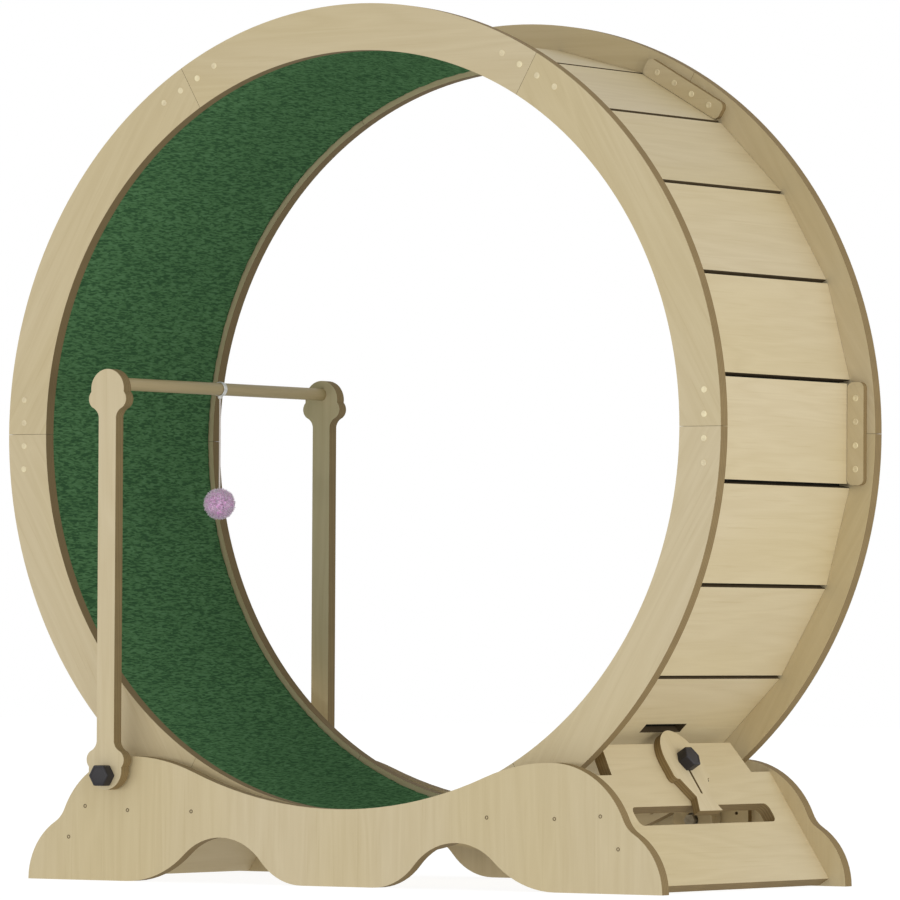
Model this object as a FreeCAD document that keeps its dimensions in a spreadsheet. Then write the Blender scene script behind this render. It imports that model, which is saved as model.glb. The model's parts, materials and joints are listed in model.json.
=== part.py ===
"""Exercise wheel for a cat: a slatted plywood drum on rollers, a wavy-sided stand, a latch and a swinging toy frame.

Millimetres. +Z is up, the floor is Z = 0, the wheel turns about an axis along Y, and the front face looks to -Y.
The latch stands at the +X end and the toy frame at the -X end.
"""
import FreeCAD, Part
import math
import os

import Sketcher
from FreeCAD import Placement, Rotation, Vector

doc = FreeCAD.newDocument("cat_exercise_wheel")

# ---------------------------------------------------------------- driving dimensions

DIMENSIONS = [
    # wheel
    ("wheel_radius", 500, "outer edge of both rings"),
    ("wheel_width", 366, "over the outer faces of the rings"),
    ("floor_clearance", 32, "rings above the floor"),
    ("ring_band", 55, "radial width of a ring"),
    ("ring_thickness", 15, "plywood of the rings"),
    ("segment_count", 6, "segments in each ring"),
    ("seam_gap", 0.4, "hairline between two segments"),
    ("slats_per_segment", 4, "boards along one segment"),
    ("slat_inset", 34, "outer edge of a ring in to the outer face of a board"),
    ("slat_thickness", 10, "board thickness"),
    ("slat_gap", 5, "gap between two boards, at their outer faces"),
    ("socket_depth", 5, "depth of the sockets that hold the board ends"),
    ("socket_clearance", 0.2, "play of a board end in its socket"),
    ("carpet_thickness", 6, "lining, from the middle of a board to its pile"),
    ("lock_board_steps", 3, "boards from three o'clock down to a lock board"),
    ("cleat_width", 22, "radial width of a joining plate"),
    ("cleat_clearance", 0.5, "outer face of a board to a joining plate"),
    ("cleat_length", 121, "length of a joining plate"),
    ("cleat_thickness", 8, "plywood of a joining plate"),
    ("cleat_corner", 7, "corner radius of a joining plate"),
    ("seam_bolt_spacing", 27.7, "between two bolts of a joining plate"),
    ("seam_bolt_radius", 2, "shank of a seam bolt"),
    ("seam_bolt_cap_radius", 4, "cap of a seam bolt"),
    ("seam_bolt_cap", 1.2, "thickness of a cap"),
    ("cap_proud", 0.2, "how far a cap stands out of the wood"),
    # side panels
    ("toe_overhang", 59, "lower screw of an end board out to the toe of a panel"),
    ("panel_thickness", 15, "plywood of the side panels"),
    ("panel_gap", 16, "ring face to the inner face of a panel"),
    ("valley_height", 90, "top edge of a panel at its middle"),
    ("valley_radius", 540, "curve of the top edge at its middle"),
    ("hump_inset", 90, "lower screw of an end board in to a hump"),
    ("hump_rise", 97, "lower screw of an end board up to the top of a hump"),
    ("hump_end_radius", 105, "outer curve of a hump"),
    ("waist_radius", 34, "hollow between a hump and its toe"),
    ("toe_radius", 80, "curve of a toe"),
    ("arch_place", 165, "middle of the stand to an arch"),
    ("arch_height", 54, "top of an arch"),
    ("arch_radius", 75, "curve of an arch at its top"),
    ("toe_foot_length", 144, "toe of a panel in to where an arch begins"),
    ("middle_foot_place", 50, "half length of the middle foot"),
    # end boards
    ("board_slope", 57, "degrees from the floor"),
    ("board_thickness", 15, "plywood of an end board"),
    ("lock_drop", 24, "middle of a lock board down to where the lever meets it"),
    ("lever_run", 152.3, "lower screw of an end board up the slope to a lock board"),
    ("board_screw_pitch", 44, "lower to upper screw, up the slope"),
    ("board_foot", 55, "lower screw down to the bottom edge, along the slope"),
    ("board_shoulder", 94, "lower screw up to the shoulders, along the slope"),
    ("board_top", 135, "lower screw up to the top edge, along the slope"),
    ("tongue_base_width", 312, "width of the tongue at the shoulders"),
    ("tongue_top_width", 288, "width of the tongue at the top edge"),
    ("hand_slot_length", 306, "hand slot, end to end"),
    ("hand_slot_height", 25, "hand slot across"),
    ("hand_slot_place", 38, "lower screw up to the middle of the hand slot"),
    ("hand_slot_corner", 9, "corner radius of the hand slot"),
    ("side_hole_across", 47, "small hole beside the lever, from the middle of the board"),
    ("side_hole_place", 85, "lower screw up to that hole"),
    ("side_hole_radius", 2, "that hole"),
    # screws of the stand
    ("wood_screw_radius", 2, "shank"),
    ("wood_screw_head_radius", 3.5, "head"),
    ("wood_screw_head", 2.5, "head thickness"),
    ("end_screw_length", 50, "screws into the end boards"),
    ("bracket_screw_length", 22, "screws into the roller brackets"),
    # rollers
    ("roller_angle", 29, "degrees from the lowest point of the ring to a roller"),
    ("roller_groove_radius", 22, "tread that the ring stands on"),
    ("roller_flange_radius", 27, "flanges beside the ring"),
    ("roller_flange", 3, "thickness of a flange"),
    ("roller_edge", 1, "bevel on the rim of a flange"),
    ("groove_play", 0.5, "ring face to flange"),
    ("tread_gap", 0.3, "ring edge to tread"),
    ("bearing_radius", 11, "outside of a bearing"),
    ("bearing_width", 7, "width of a bearing"),
    ("bearing_race", 2, "radial thickness of its races"),
    ("bearing_recess", 0.6, "shield below the faces of its races"),
    ("axle_radius", 4, "roller axle bolt"),
    ("axle_head_radius", 7, "sunk head of an axle bolt"),
    ("axle_head", 4, "thickness of that head"),
    ("axle_nut_radius", 7.5, "lock nut, to its corners"),
    ("axle_nut", 6, "lock nut thickness"),
    ("running_fit", 0.05, "radial play of everything that turns on a bolt"),
    ("face_gap", 0.2, "play between faces that turn on each other"),
    ("bracket_length", 124, "roller bracket plate"),
    ("bracket_height", 52, "roller bracket plate"),
    ("bracket_thickness", 8, "roller bracket plate"),
    ("bracket_rise", 8.8, "roller axle up to the middle of its bracket"),
    ("bracket_corner", 8, "corner radius of the plate"),
    ("bracket_screw_pitch", 92, "between the two screws of a plate"),
    # toy frame
    ("pivot_outset", 23, "top of a hump out to a pivot bolt"),
    ("pivot_drop", 23, "top of a hump down to a pivot bolt"),
    ("post_length", 465, "pivot bolts up to the toy bar"),
    ("post_thickness", 15, "plywood of a post"),
    ("post_width", 25, "straight part of a post"),
    ("post_neck", 40, "pivot or bar in to where the straight part begins"),
    ("head_reach", 17, "pivot or bar out to the tip of a head"),
    ("head_dome_width", 47, "head where its dome meets the ears"),
    ("head_dome_place", 10, "pivot or bar in to there"),
    ("head_ear_width", 54, "head over its ears"),
    ("head_ear_place", 19, "pivot or bar in to there"),
    ("head_lobe_width", 42, "head where its ears turn into hollows"),
    ("head_lobe_place", 29, "pivot or bar in to there"),
    ("head_hollow_width", 29, "head halfway along its hollows"),
    ("head_hollow_place", 34.5, "pivot or bar in to there"),
    ("post_standoff", 5, "panel to post"),
    ("washer_radius", 10, "spacing washer of a pivot"),
    ("bar_radius", 7.5, "toy bar"),
    ("bar_socket", 10, "depth of the bar's sockets"),
    ("pivot_bolt_radius", 3, "pivot bolt"),
    ("pivot_head_radius", 5.5, "head of a pivot bolt, to its corners"),
    ("pivot_head", 4, "head thickness"),
    ("knob_radius", 14, "knob, to its corners"),
    ("knob_height", 14, "knob"),
    ("knob_chamfer", 1.5, "rim of a knob"),
    ("knob_bore_depth", 10, "threaded insert of a knob"),
    # toy
    ("loop_width", 7, "band round the bar"),
    ("loop_thickness", 1.5, "band round the bar"),
    ("string_radius", 1, "string"),
    ("string_length", 110, "band to ball"),
    ("ball_radius", 20, "fluffy ball"),
    # latch
    ("lever_thickness", 10, "plywood of the lever"),
    ("lever_tip", 147, "lower screw up to the tip of the lever"),
    ("lever_crown_width", 60, "lever halfway round its crown"),
    ("lever_crown_place", 132, "lower screw up to there"),
    ("lever_leaf_width", 80, "lever across its widest part"),
    ("lever_leaf_place", 104, "lower screw up to where the crown ends"),
    ("lever_leaf_corner", 6, "corner radius above the step"),
    ("lever_step_width", 62, "lever just under the step"),
    ("lever_step_place", 81, "lower screw up to the step"),
    ("lever_waist_width", 31, "lever at its narrowest"),
    ("lever_waist_place", 56, "lower screw up to the waist"),
    ("lever_tail_width", 51, "lever at its lower end, over the hand slot"),
    ("lever_tail_place", 37, "lower screw up to the lower end"),
    ("latch_bolt_place", 104, "lower screw up to the latch bolt"),
    ("latch_bolt_radius", 2, "latch bolt"),
    ("latch_head_radius", 4, "head of the latch bolt, to its corners"),
    ("latch_head", 2.5, "thickness of that head"),
    ("slit_length", 46, "slit of the lever, end to end"),
    ("lock_slot_length", 90, "slot for the lever in a lock board"),
    ("lock_slot_play", 0.7, "lever to the edge of its slot"),
    ("overrun", 1, "how far a cutting box runs past the wood"),
]

sheet = doc.addObject("Spreadsheet::Sheet", "sizes")
for row, (alias, value, note) in enumerate(DIMENSIONS, start=1):
    sheet.set(f"A{row}", alias)
    sheet.set(f"B{row}", str(value))
    sheet.set(f"C{row}", note)
    sheet.setAlias(f"B{row}", alias)
doc.recompute()


class Sizes:
    """Reads a driving dimension from the sheet by its alias."""

    def __getattr__(self, alias):
        return float(sheet.get(alias))


s = Sizes()
parts = []

# ---------------------------------------------------------------- sizes worked out from them

wheel_axis_height = s.wheel_radius + s.floor_clearance
slat_distance = s.wheel_radius - s.slat_inset
ring_inner_radius = s.wheel_radius - s.ring_band
ring_inner_face = s.wheel_width / 2 - s.ring_thickness
segment_count = int(s.segment_count)
slats_per_segment = int(s.slats_per_segment)
segment_angle = 360 / segment_count
slat_angle = segment_angle / slats_per_segment
slat_count = segment_count * slats_per_segment
slat_width = 2 * slat_distance * math.tan(math.radians(slat_angle / 2)) - s.slat_gap
slat_inner_distance = slat_distance - s.slat_thickness
slat_length = 2 * (ring_inner_face + s.socket_depth - s.socket_clearance)
carpet_radius = slat_inner_distance - s.carpet_thickness
cleat_distance = slat_distance + s.cleat_clearance + s.cleat_width / 2
panel_inner_face = s.wheel_width / 2 + s.panel_gap
panel_outer_face = panel_inner_face + s.panel_thickness
roller_distance = s.wheel_radius + s.tread_gap + s.roller_groove_radius
roller_x = roller_distance * math.sin(math.radians(s.roller_angle))
roller_z = wheel_axis_height - roller_distance * math.cos(math.radians(s.roller_angle))
ring_middle = s.wheel_width / 2 - s.ring_thickness / 2
roller_half_width = s.ring_thickness / 2 + s.groove_play + s.roller_flange
post_inner_face = panel_outer_face + s.post_standoff
post_outer_face = post_inner_face + s.post_thickness
slope = math.radians(s.board_slope)
slope_up = Vector(-math.cos(slope), 0, math.sin(slope))
slope_out = Vector(math.sin(slope), 0, math.cos(slope))
lock_angle = math.radians(-s.lock_board_steps * slat_angle)
lock_out = Vector(math.cos(lock_angle), 0, math.sin(lock_angle))
lock_up = Vector(-lock_out.z, 0, lock_out.x)
lever_entry = Vector(0, 0, wheel_axis_height) + lock_out * slat_distance - lock_up * s.lock_drop
board_screw = lever_entry - slope_up * s.lever_run - slope_out * (s.board_thickness + s.lever_thickness) / 2
stand_half_length = board_screw.x + s.toe_overhang
toe_foot_place = stand_half_length - s.toe_foot_length
hump_place = board_screw.x - s.hump_inset
hump_height = board_screw.z + s.hump_rise
pivot_place = hump_place + s.pivot_outset
pivot_height = hump_height - s.pivot_drop
bar_height = pivot_height + s.post_length
lock_slats = (slat_count - int(s.lock_board_steps), slat_count // 2 - int(s.lock_board_steps))

# ---------------------------------------------------------------- helpers


def add(label, obj):
    """Names a finished sub-part and lists it for export."""
    obj.Label = label
    parts.append(obj)
    return obj


def new_body(label, placement=Placement(), several=False):
    body = doc.addObject("PartDesign::Body", label)
    body.AllowCompound = several
    body.Placement = placement
    return add(label, body)


def new_sketch(body, name, role):
    """A sketch on one of the body's own origin planes."""
    sketch = body.newObject("Sketcher::SketchObject", name)
    plane = next(f for f in body.Origin.OriginFeatures if f.Role == role)
    sketch.AttachmentSupport = [(plane, "")]
    sketch.MapMode = "FlatFace"
    return sketch


def line(a, b):
    return Part.LineSegment(Vector(*a, 0), Vector(*b, 0))


def arc(a, middle, b):
    return Part.Arc(Vector(*a, 0), Vector(*middle, 0), Vector(*b, 0))


def draw(sketch, edges):
    """Adds a closed chain of edges and joins their ends."""
    first = sketch.GeometryCount
    for edge in edges:
        sketch.addGeometry(edge, False)

    def ends(index):
        return [sketch.getPoint(index, place) for place in (1, 2)]

    for i in range(len(edges)):
        here, after = first + i, first + (i + 1) % len(edges)
        pairs = [(a.distanceToPoint(b), m + 1, n + 1)
                 for m, a in enumerate(ends(here)) for n, b in enumerate(ends(after))]
        _, m, n = min(pairs)
        sketch.addConstraint(Sketcher.Constraint("Coincident", here, m, after, n))


def draw_hole(sketch, centre, radius_alias, extra="0"):
    """Adds a circle whose radius follows a cell of the sheet, plus a play."""
    index = sketch.addGeometry(Part.Circle(Vector(*centre, 0), Vector(0, 0, 1), 1), False)
    sketch.addConstraint(Sketcher.Constraint("DistanceX", -1, 1, index, 3, centre[0]))
    sketch.addConstraint(Sketcher.Constraint("DistanceY", -1, 1, index, 3, centre[1]))
    number = sketch.addConstraint(Sketcher.Constraint("Radius", index, 1.0))
    sketch.setExpression(f"Constraints[{number}]", f"sizes.{radius_alias} + {extra}")
    return index


def extrude(body, sketch, length, kind="Pad", reverse=False, middle=False):
    """A pad or pocket of a sketch, with its length bound to an expression."""
    feature = body.newObject(f"PartDesign::{kind}", f"{kind}_{sketch.Name}")
    feature.Profile = sketch
    feature.setExpression("Length", length)
    feature.Reversed = reverse
    feature.Midplane = middle
    sketch.Visibility = False
    return feature


def rounded_rectangle(centre, width, height, radius):
    """Edges of a rectangle with round corners, counter-clockwise from the lower left."""
    cx, cy = centre
    edges = []
    corners = [(cx + sx * (width / 2 - radius), cy + sy * (height / 2 - radius), start)
               for sx, sy, start in ((-1, -1, 180), (1, -1, 270), (1, 1, 0), (-1, 1, 90))]
    rounds = [[polar((x, y), radius, start + turn) for turn in (0, 45, 90)] for x, y, start in corners]
    for here, after in zip(rounds, rounds[1:] + rounds[:1]):
        edges.append(arc(*here))
        edges.append(line(here[2], after[0]))
    return edges


def polar(centre, radius, degrees):
    angle = math.radians(degrees)
    return (centre[0] + radius * math.cos(angle), centre[1] + radius * math.sin(angle))


def round_between(a, b, centre):
    """The shorter arc from a to b about a centre."""
    radius = math.dist(a, centre)
    toward = (a[0] + b[0] - 2 * centre[0], a[1] + b[1] - 2 * centre[1])
    length = math.hypot(*toward)
    middle = (centre[0] + radius * toward[0] / length, centre[1] + radius * toward[1] / length)
    return arc(a, middle, b)


def ogee(a, b, first_radius):
    """Two tangent arcs from a to b, level at both ends. The second radius follows from the first."""
    run, rise = b[0] - a[0], b[1] - a[1]
    both = (run ** 2 + rise ** 2) / (2 * abs(rise))
    side = math.copysign(1, rise)
    share = first_radius / both
    joint = (a[0] + share * run, a[1] + share * rise)
    first_centre = (a[0], a[1] + side * first_radius)
    second_centre = (b[0], b[1] - side * (both - first_radius))
    return [round_between(a, joint, first_centre), round_between(joint, b, second_centre)]


def along_axis(x, y, z, direction=(0, 1, 0)):
    """Placement that turns a solid's own Z to a direction."""
    return Placement(Vector(x, y, z), Rotation(Vector(0, 0, 1), Vector(*direction)))


def cylinder(name, radius, height, placement):
    obj = doc.addObject("Part::Cylinder", name)
    obj.setExpression("Radius", radius)
    obj.setExpression("Height", height)
    obj.Placement = placement
    return obj


def prism(name, circumradius, height, placement):
    obj = doc.addObject("Part::Prism", name)
    obj.Polygon = 6
    obj.setExpression("Circumradius", circumradius)
    obj.setExpression("Height", height)
    obj.Placement = placement
    return obj


def fuse(name, pieces):
    obj = doc.addObject("Part::MultiFuse", name)
    obj.Shapes = pieces
    return obj


def cut(name, base, tool):
    obj = doc.addObject("Part::Cut", name)
    obj.Base = base
    obj.Tool = tool
    return obj


def group(name, pieces):
    obj = doc.addObject("Part::Compound", name)
    obj.Links = pieces
    return obj


def wheel_turn(degrees):
    """Placement of a piece drawn at three o'clock of the wheel and turned up round its axis."""
    centre = Vector(0, 0, wheel_axis_height)
    return Placement(centre, Rotation(Vector(0, -1, 0), degrees))


SIDES = (("front", -1), ("rear", 1))
ENDS = (("left", -1), ("right", 1))

# ---------------------------------------------------------------- wheel


def slat_rectangle(degrees, play):
    """Section of a board, seen along the wheel axis, with some play all round."""
    half = slat_width / 2 + play
    inner, outer = slat_inner_distance - play, slat_distance + play
    angle = math.radians(degrees)
    corners = []
    for distance, side in ((inner, -half), (outer, -half), (outer, half), (inner, half)):
        corners.append((distance * math.cos(angle) - side * math.sin(angle),
                        distance * math.sin(angle) + side * math.cos(angle)))
    return [line(a, b) for a, b in zip(corners, corners[1:] + corners[:1])]


def ring_segment(label, side, number):
    """One segment of a ring, with sockets for the board ends in its inner face."""
    trim = math.degrees(s.seam_gap / 2 / s.wheel_radius)
    start, end = trim, segment_angle - trim
    middle = segment_angle / 2
    outer = [polar((0, 0), s.wheel_radius, angle) for angle in (start, middle, end)]
    inner = [polar((0, 0), ring_inner_radius, angle) for angle in (end, middle, start)]
    place = wheel_turn(number * segment_angle)
    place.Base.y = side * ring_middle
    body = new_body(label, place)
    face = new_sketch(body, "face", "XZ_Plane")
    draw(face, [arc(*outer), line(outer[2], inner[0]), arc(*inner), line(inner[2], outer[0])])
    extrude(body, face, "sizes.ring_thickness", middle=True)
    sockets = new_sketch(body, "sockets", "XZ_Plane")
    sockets.AttachmentOffset = Placement(Vector(0, 0, side * s.ring_thickness / 2), Rotation())
    for board in range(slats_per_segment + 1):
        draw(sockets, slat_rectangle(board * slat_angle, s.socket_clearance))
    extrude(body, sockets, "sizes.socket_depth", "Pocket", reverse=side < 0)


def slat(number):
    """One board of the drum."""
    box = doc.addObject("Part::Box", f"slat_{number + 1}")
    box.setExpression("Length", "sizes.slat_thickness")
    box.Width = slat_length
    box.Height = slat_width
    place = wheel_turn(number * slat_angle)
    corner = Vector(slat_inner_distance, -slat_length / 2, -slat_width / 2)
    box.Placement = place.multiply(Placement(corner, Rotation()))
    return box


def lock_slot(number, name):
    """Tool for a lock slot, set where the lever's faces cross the board."""
    low, high = lever_crossing()
    box = doc.addObject("Part::Box", name)
    box.setExpression("Length", "sizes.slat_thickness + 2 * sizes.overrun")
    box.setExpression("Width", "sizes.lock_slot_length")
    box.Height = high - low + 2 * s.lock_slot_play
    corner = Vector(slat_inner_distance - s.overrun, -s.lock_slot_length / 2, low - s.lock_slot_play)
    box.Placement = wheel_turn(number * slat_angle).multiply(Placement(corner, Rotation()))
    return box


def lever_crossing():
    """Where the lever passes through its board: lowest and highest place from the board's middle line."""
    places = []
    for height in (0, s.lever_thickness):
        for distance in (slat_distance, slat_inner_distance):
            start = slope_point(0, 0, s.board_thickness / 2 + height) - Vector(0, 0, wheel_axis_height)
            travel = (distance - start.dot(lock_out)) / slope_up.dot(lock_out)
            places.append((start + slope_up * travel).dot(lock_up))
    return min(places), max(places)


def slope_point(across, up, out):
    """A point of the +X end board, from its lower screw line: across the stand, up the slope, out of the board."""
    return board_screw + Vector(0, across, 0) + slope_up * up + slope_out * out


def build_drum():
    for name, side in SIDES:
        for number in range(segment_count):
            ring_segment(f"{name}_ring_segment_{number + 1}", side, number)
    for number in range(segment_count):
        first = number * slats_per_segment
        boards = [slat(i) for i in range(first, first + slats_per_segment) if i not in lock_slats]
        add(f"slats_{number + 1}", group(f"slats_{number + 1}", boards))
    for order, number in enumerate(lock_slats, start=1):
        add(f"lock_slat_{order}", cut(f"lock_slat_{order}", slat(number), lock_slot(number, f"slot_{order}")))


def build_carpet():
    """The lining lies against the boards and has a round inside."""
    body = new_body("carpet_lining", wheel_turn(0))
    face = new_sketch(body, "face", "XZ_Plane")
    corner = slat_inner_distance / math.cos(math.radians(slat_angle / 2))
    outline = [polar((0, 0), corner, (i + 0.5) * slat_angle) for i in range(slat_count)]
    draw(face, [line(a, b) for a, b in zip(outline, outline[1:] + outline[:1])])
    index = face.addGeometry(Part.Circle(Vector(), Vector(0, 0, 1), carpet_radius), False)
    face.addConstraint(Sketcher.Constraint("Coincident", index, 3, -1, 1))
    number = face.addConstraint(Sketcher.Constraint("Radius", index, carpet_radius))
    face.setExpression(f"Constraints[{number}]",
                       "sizes.wheel_radius - sizes.slat_inset - sizes.slat_thickness - sizes.carpet_thickness")
    extrude(body, face, "sizes.wheel_width - 2 * sizes.ring_thickness", middle=True)


def build_cleats():
    """Joining plates over the seams, on the inner face of each ring, with their bolts."""
    for name, side in SIDES:
        place = wheel_turn(0)
        inner_face = side * ring_inner_face
        place.Base.y = inner_face
        body = new_body(f"{name}_ring_cleats", place, several=True)
        face = new_sketch(body, "plate", "XZ_Plane")
        draw(face, rounded_rectangle((cleat_distance, 0), s.cleat_width, s.cleat_length, s.cleat_corner))
        plate = extrude(body, face, "sizes.cleat_thickness", reverse=side < 0)
        round_the_wheel(body, [plate])

        body = new_body(f"{name}_ring_bolts", place, several=True)
        caps, shanks = new_sketch(body, "caps", "XZ_Plane"), new_sketch(body, "shanks", "XZ_Plane")
        nuts = new_sketch(body, "nuts", "XZ_Plane")
        outside = -side * (s.ring_thickness + s.cap_proud - s.seam_bolt_cap)
        inside = side * (s.cleat_thickness + s.cap_proud - s.seam_bolt_cap)
        caps.AttachmentOffset = Placement(Vector(0, 0, outside), Rotation())
        shanks.AttachmentOffset = Placement(Vector(0, 0, outside), Rotation())
        nuts.AttachmentOffset = Placement(Vector(0, 0, inside), Rotation())
        for step in (-1.5, -0.5, 0.5, 1.5):
            centre = (cleat_distance, step * s.seam_bolt_spacing)
            draw_hole(caps, centre, "seam_bolt_cap_radius")
            draw_hole(shanks, centre, "seam_bolt_radius")
            draw_hole(nuts, centre, "seam_bolt_cap_radius")
        shank_length = "sizes.ring_thickness + sizes.cleat_thickness + 2 * (sizes.cap_proud - sizes.seam_bolt_cap)"
        pieces = [extrude(body, caps, "sizes.seam_bolt_cap", reverse=side > 0),
                  extrude(body, shanks, shank_length, reverse=side < 0),
                  extrude(body, nuts, "sizes.seam_bolt_cap", reverse=side < 0)]
        round_the_wheel(body, pieces)


def round_the_wheel(body, features):
    """Repeats features at each seam."""
    pattern = body.newObject("PartDesign::PolarPattern", "seams")
    pattern.Originals = features
    axis = next(f for f in body.Origin.OriginFeatures if f.Role == "Y_Axis")
    pattern.Axis = (axis, [""])
    pattern.Angle = 360
    pattern.setExpression("Occurrences", "sizes.segment_count")
    body.Tip = pattern


# ---------------------------------------------------------------- stand


def toe_edges(sign):
    """Outline from the top of a hump down to the toe at the floor."""
    hump = (hump_place, hump_height - s.hump_end_radius)
    toe = (stand_half_length - s.toe_radius, 0)
    to_hump = s.hump_end_radius + s.waist_radius
    to_toe = s.toe_radius + s.waist_radius
    between = math.dist(hump, toe)
    direction = math.atan2(toe[1] - hump[1], toe[0] - hump[0])
    angle = math.acos((to_hump ** 2 + between ** 2 - to_toe ** 2) / (2 * to_hump * between))
    waist = polar(hump, to_hump, math.degrees(direction + angle))
    top = (hump_place, hump_height)
    upper = tuple(h + (w - h) * s.hump_end_radius / to_hump for h, w in zip(hump, waist))
    lower = tuple(t + (w - t) * s.toe_radius / to_toe for t, w in zip(toe, waist))
    end = (stand_half_length, 0)
    chain = [(top, upper, hump), (upper, lower, waist), (lower, end, toe)]
    return [round_between(*((sign * x, z) for x, z in points)) for points in chain]


def panel_edges():
    """Outline of a side panel, the same on both sides of its middle."""
    edges = []
    for sign in (1, -1):
        valley = (0, s.valley_height)
        hump = (sign * hump_place, hump_height)
        arch = (sign * s.arch_place, s.arch_height)
        outer_foot = (sign * toe_foot_place, 0)
        inner_foot = (sign * s.middle_foot_place, 0)
        both = ((s.arch_place - toe_foot_place) ** 2 + s.arch_height ** 2) / (2 * s.arch_height)
        half = ogee(valley, hump, s.valley_radius) + toe_edges(sign)
        half += [line((sign * stand_half_length, 0), outer_foot)]
        half += ogee(outer_foot, arch, both - s.arch_radius) + ogee(arch, inner_foot, s.arch_radius)
        edges += half if sign > 0 else half[::-1]
        if sign > 0:
            edges.append(line(inner_foot, (-s.middle_foot_place, 0)))
    return edges


def panel_screws():
    """Places of the screws through one side panel, for the end boards and for the roller brackets."""
    boards, brackets = [], []
    for _, sign in ENDS:
        for up in (0, s.board_screw_pitch):
            point = slope_point(0, up, 0)
            boards.append((sign * point.x, point.z))
        for step in (-0.5, 0.5):
            brackets.append((sign * roller_x + step * s.bracket_screw_pitch, roller_z + s.bracket_rise))
    return boards, brackets


def build_panels():
    boards, brackets = panel_screws()
    for name, side in SIDES:
        outside = panel_outer_face if side > 0 else -panel_inner_face
        body = new_body(f"{name}_side_panel", Placement(Vector(0, outside, 0), Rotation()))
        face = new_sketch(body, "outline", "XZ_Plane")
        draw(face, panel_edges())
        draw_hole(face, (-pivot_place, pivot_height), "pivot_bolt_radius", "sizes.running_fit")
        extrude(body, face, "sizes.panel_thickness")
        for places, label, depth in ((boards, "end_board", "sizes.end_screw_length"),
                                     (brackets, "bracket", "sizes.bracket_screw_length")):
            wood_screws(f"{name}_{label}_screws", side, places, depth)


def wood_screws(label, side, places, depth):
    """Screws driven through a side panel, heads level with its outer face."""
    screws = []
    inward = (0, -side, 0)
    for number, (x, z) in enumerate(places):
        start = along_axis(x, side * (panel_outer_face + s.cap_proud), z, inward)
        head = cylinder(f"head_{number}", "sizes.wood_screw_head_radius", "sizes.wood_screw_head", start)
        shank = cylinder(f"shank_{number}", "sizes.wood_screw_radius", depth, start)
        screws.append(fuse(f"screw_{number}", [head, shank]))
    add(label, group(label, screws))


def slope_placement(sign, up=0, out=0):
    """Frame of an end board: X across the stand, Y up the slope, Z out of the board."""
    up_axis = Vector(sign * slope_up.x, 0, slope_up.z)
    out_axis = Vector(sign * slope_out.x, 0, slope_out.z)
    turn = Rotation(Vector(0, sign, 0), up_axis, out_axis, "XYZ")
    point = slope_point(0, up, out)
    return Placement(Vector(sign * point.x, 0, point.z), turn)


def build_end_boards():
    half = panel_inner_face
    base, top = s.tongue_base_width / 2, s.tongue_top_width / 2
    corners = [(-half, -s.board_foot), (half, -s.board_foot), (half, s.board_shoulder), (base, s.board_shoulder),
               (top, s.board_top), (-top, s.board_top), (-base, s.board_shoulder), (-half, s.board_shoulder)]
    for label, sign in (("plain_end_board", -1), ("latch_end_board", 1)):
        body = new_body(label, slope_placement(sign))
        face = new_sketch(body, "outline", "XY_Plane")
        draw(face, [line(a, b) for a, b in zip(corners, corners[1:] + corners[:1])])
        draw(face, rounded_rectangle((0, s.hand_slot_place), s.hand_slot_length, s.hand_slot_height,
                                     s.hand_slot_corner))
        if sign > 0:
            draw_hole(face, (0, s.latch_bolt_place), "latch_bolt_radius")
            draw_hole(face, (s.side_hole_across, s.side_hole_place), "side_hole_radius")
        extrude(body, face, "sizes.board_thickness", middle=True)


# ---------------------------------------------------------------- rollers


def build_rollers():
    axles, nuts = [], []
    for name, side in SIDES:
        for end, sign in ENDS:
            x, middle = sign * roller_x, side * ring_middle
            bracket(f"{name}_{end}_roller_bracket", side, x)
            roller(f"{name}_{end}_roller", x, middle)
            bearing(f"{name}_{end}_bearing", x, middle)
            back = along_axis(x, side * panel_inner_face, roller_z, (0, -side, 0))
            length = ("sizes.panel_gap + sizes.ring_thickness + sizes.groove_play + sizes.roller_flange"
                      " + sizes.face_gap + sizes.axle_nut")
            head = cylinder("axle_head", "sizes.axle_head_radius", "sizes.axle_head", back)
            shank = cylinder("axle_shank", "sizes.axle_radius", length, back)
            axles.append(fuse(f"axle_{name}_{end}", [head, shank]))
            inner_end = middle - side * (roller_half_width + s.face_gap)
            seat = along_axis(x, inner_end, roller_z, (0, -side, 0))
            hexagon = prism("nut_body", "sizes.axle_nut_radius", "sizes.axle_nut", seat)
            bore = cylinder("nut_bore", "sizes.axle_radius", "sizes.axle_nut", seat)
            nuts.append(cut(f"nut_{name}_{end}", hexagon, bore))
    add("roller_axle_bolts", group("roller_axle_bolts", axles))
    add("roller_axle_nuts", group("roller_axle_nuts", nuts))


def bracket(label, side, x):
    """Plate behind a side panel that carries one roller axle, its head sunk in the back."""
    y = -panel_inner_face if side < 0 else panel_inner_face
    body = new_body(label, Placement(Vector(x, y, roller_z + s.bracket_rise), Rotation()))
    face = new_sketch(body, "plate", "XZ_Plane")
    draw(face, rounded_rectangle((0, 0), s.bracket_length, s.bracket_height, s.bracket_corner))
    draw_hole(face, (0, -s.bracket_rise), "axle_radius")
    for step in (-0.5, 0.5):
        draw_hole(face, (step * s.bracket_screw_pitch, 0), "wood_screw_radius")
    extrude(body, face, "sizes.bracket_thickness", reverse=side < 0)
    sink = new_sketch(body, "sink", "XZ_Plane")
    draw_hole(sink, (0, -s.bracket_rise), "axle_head_radius")
    extrude(body, sink, "sizes.axle_head", "Pocket", reverse=side > 0)


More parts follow.
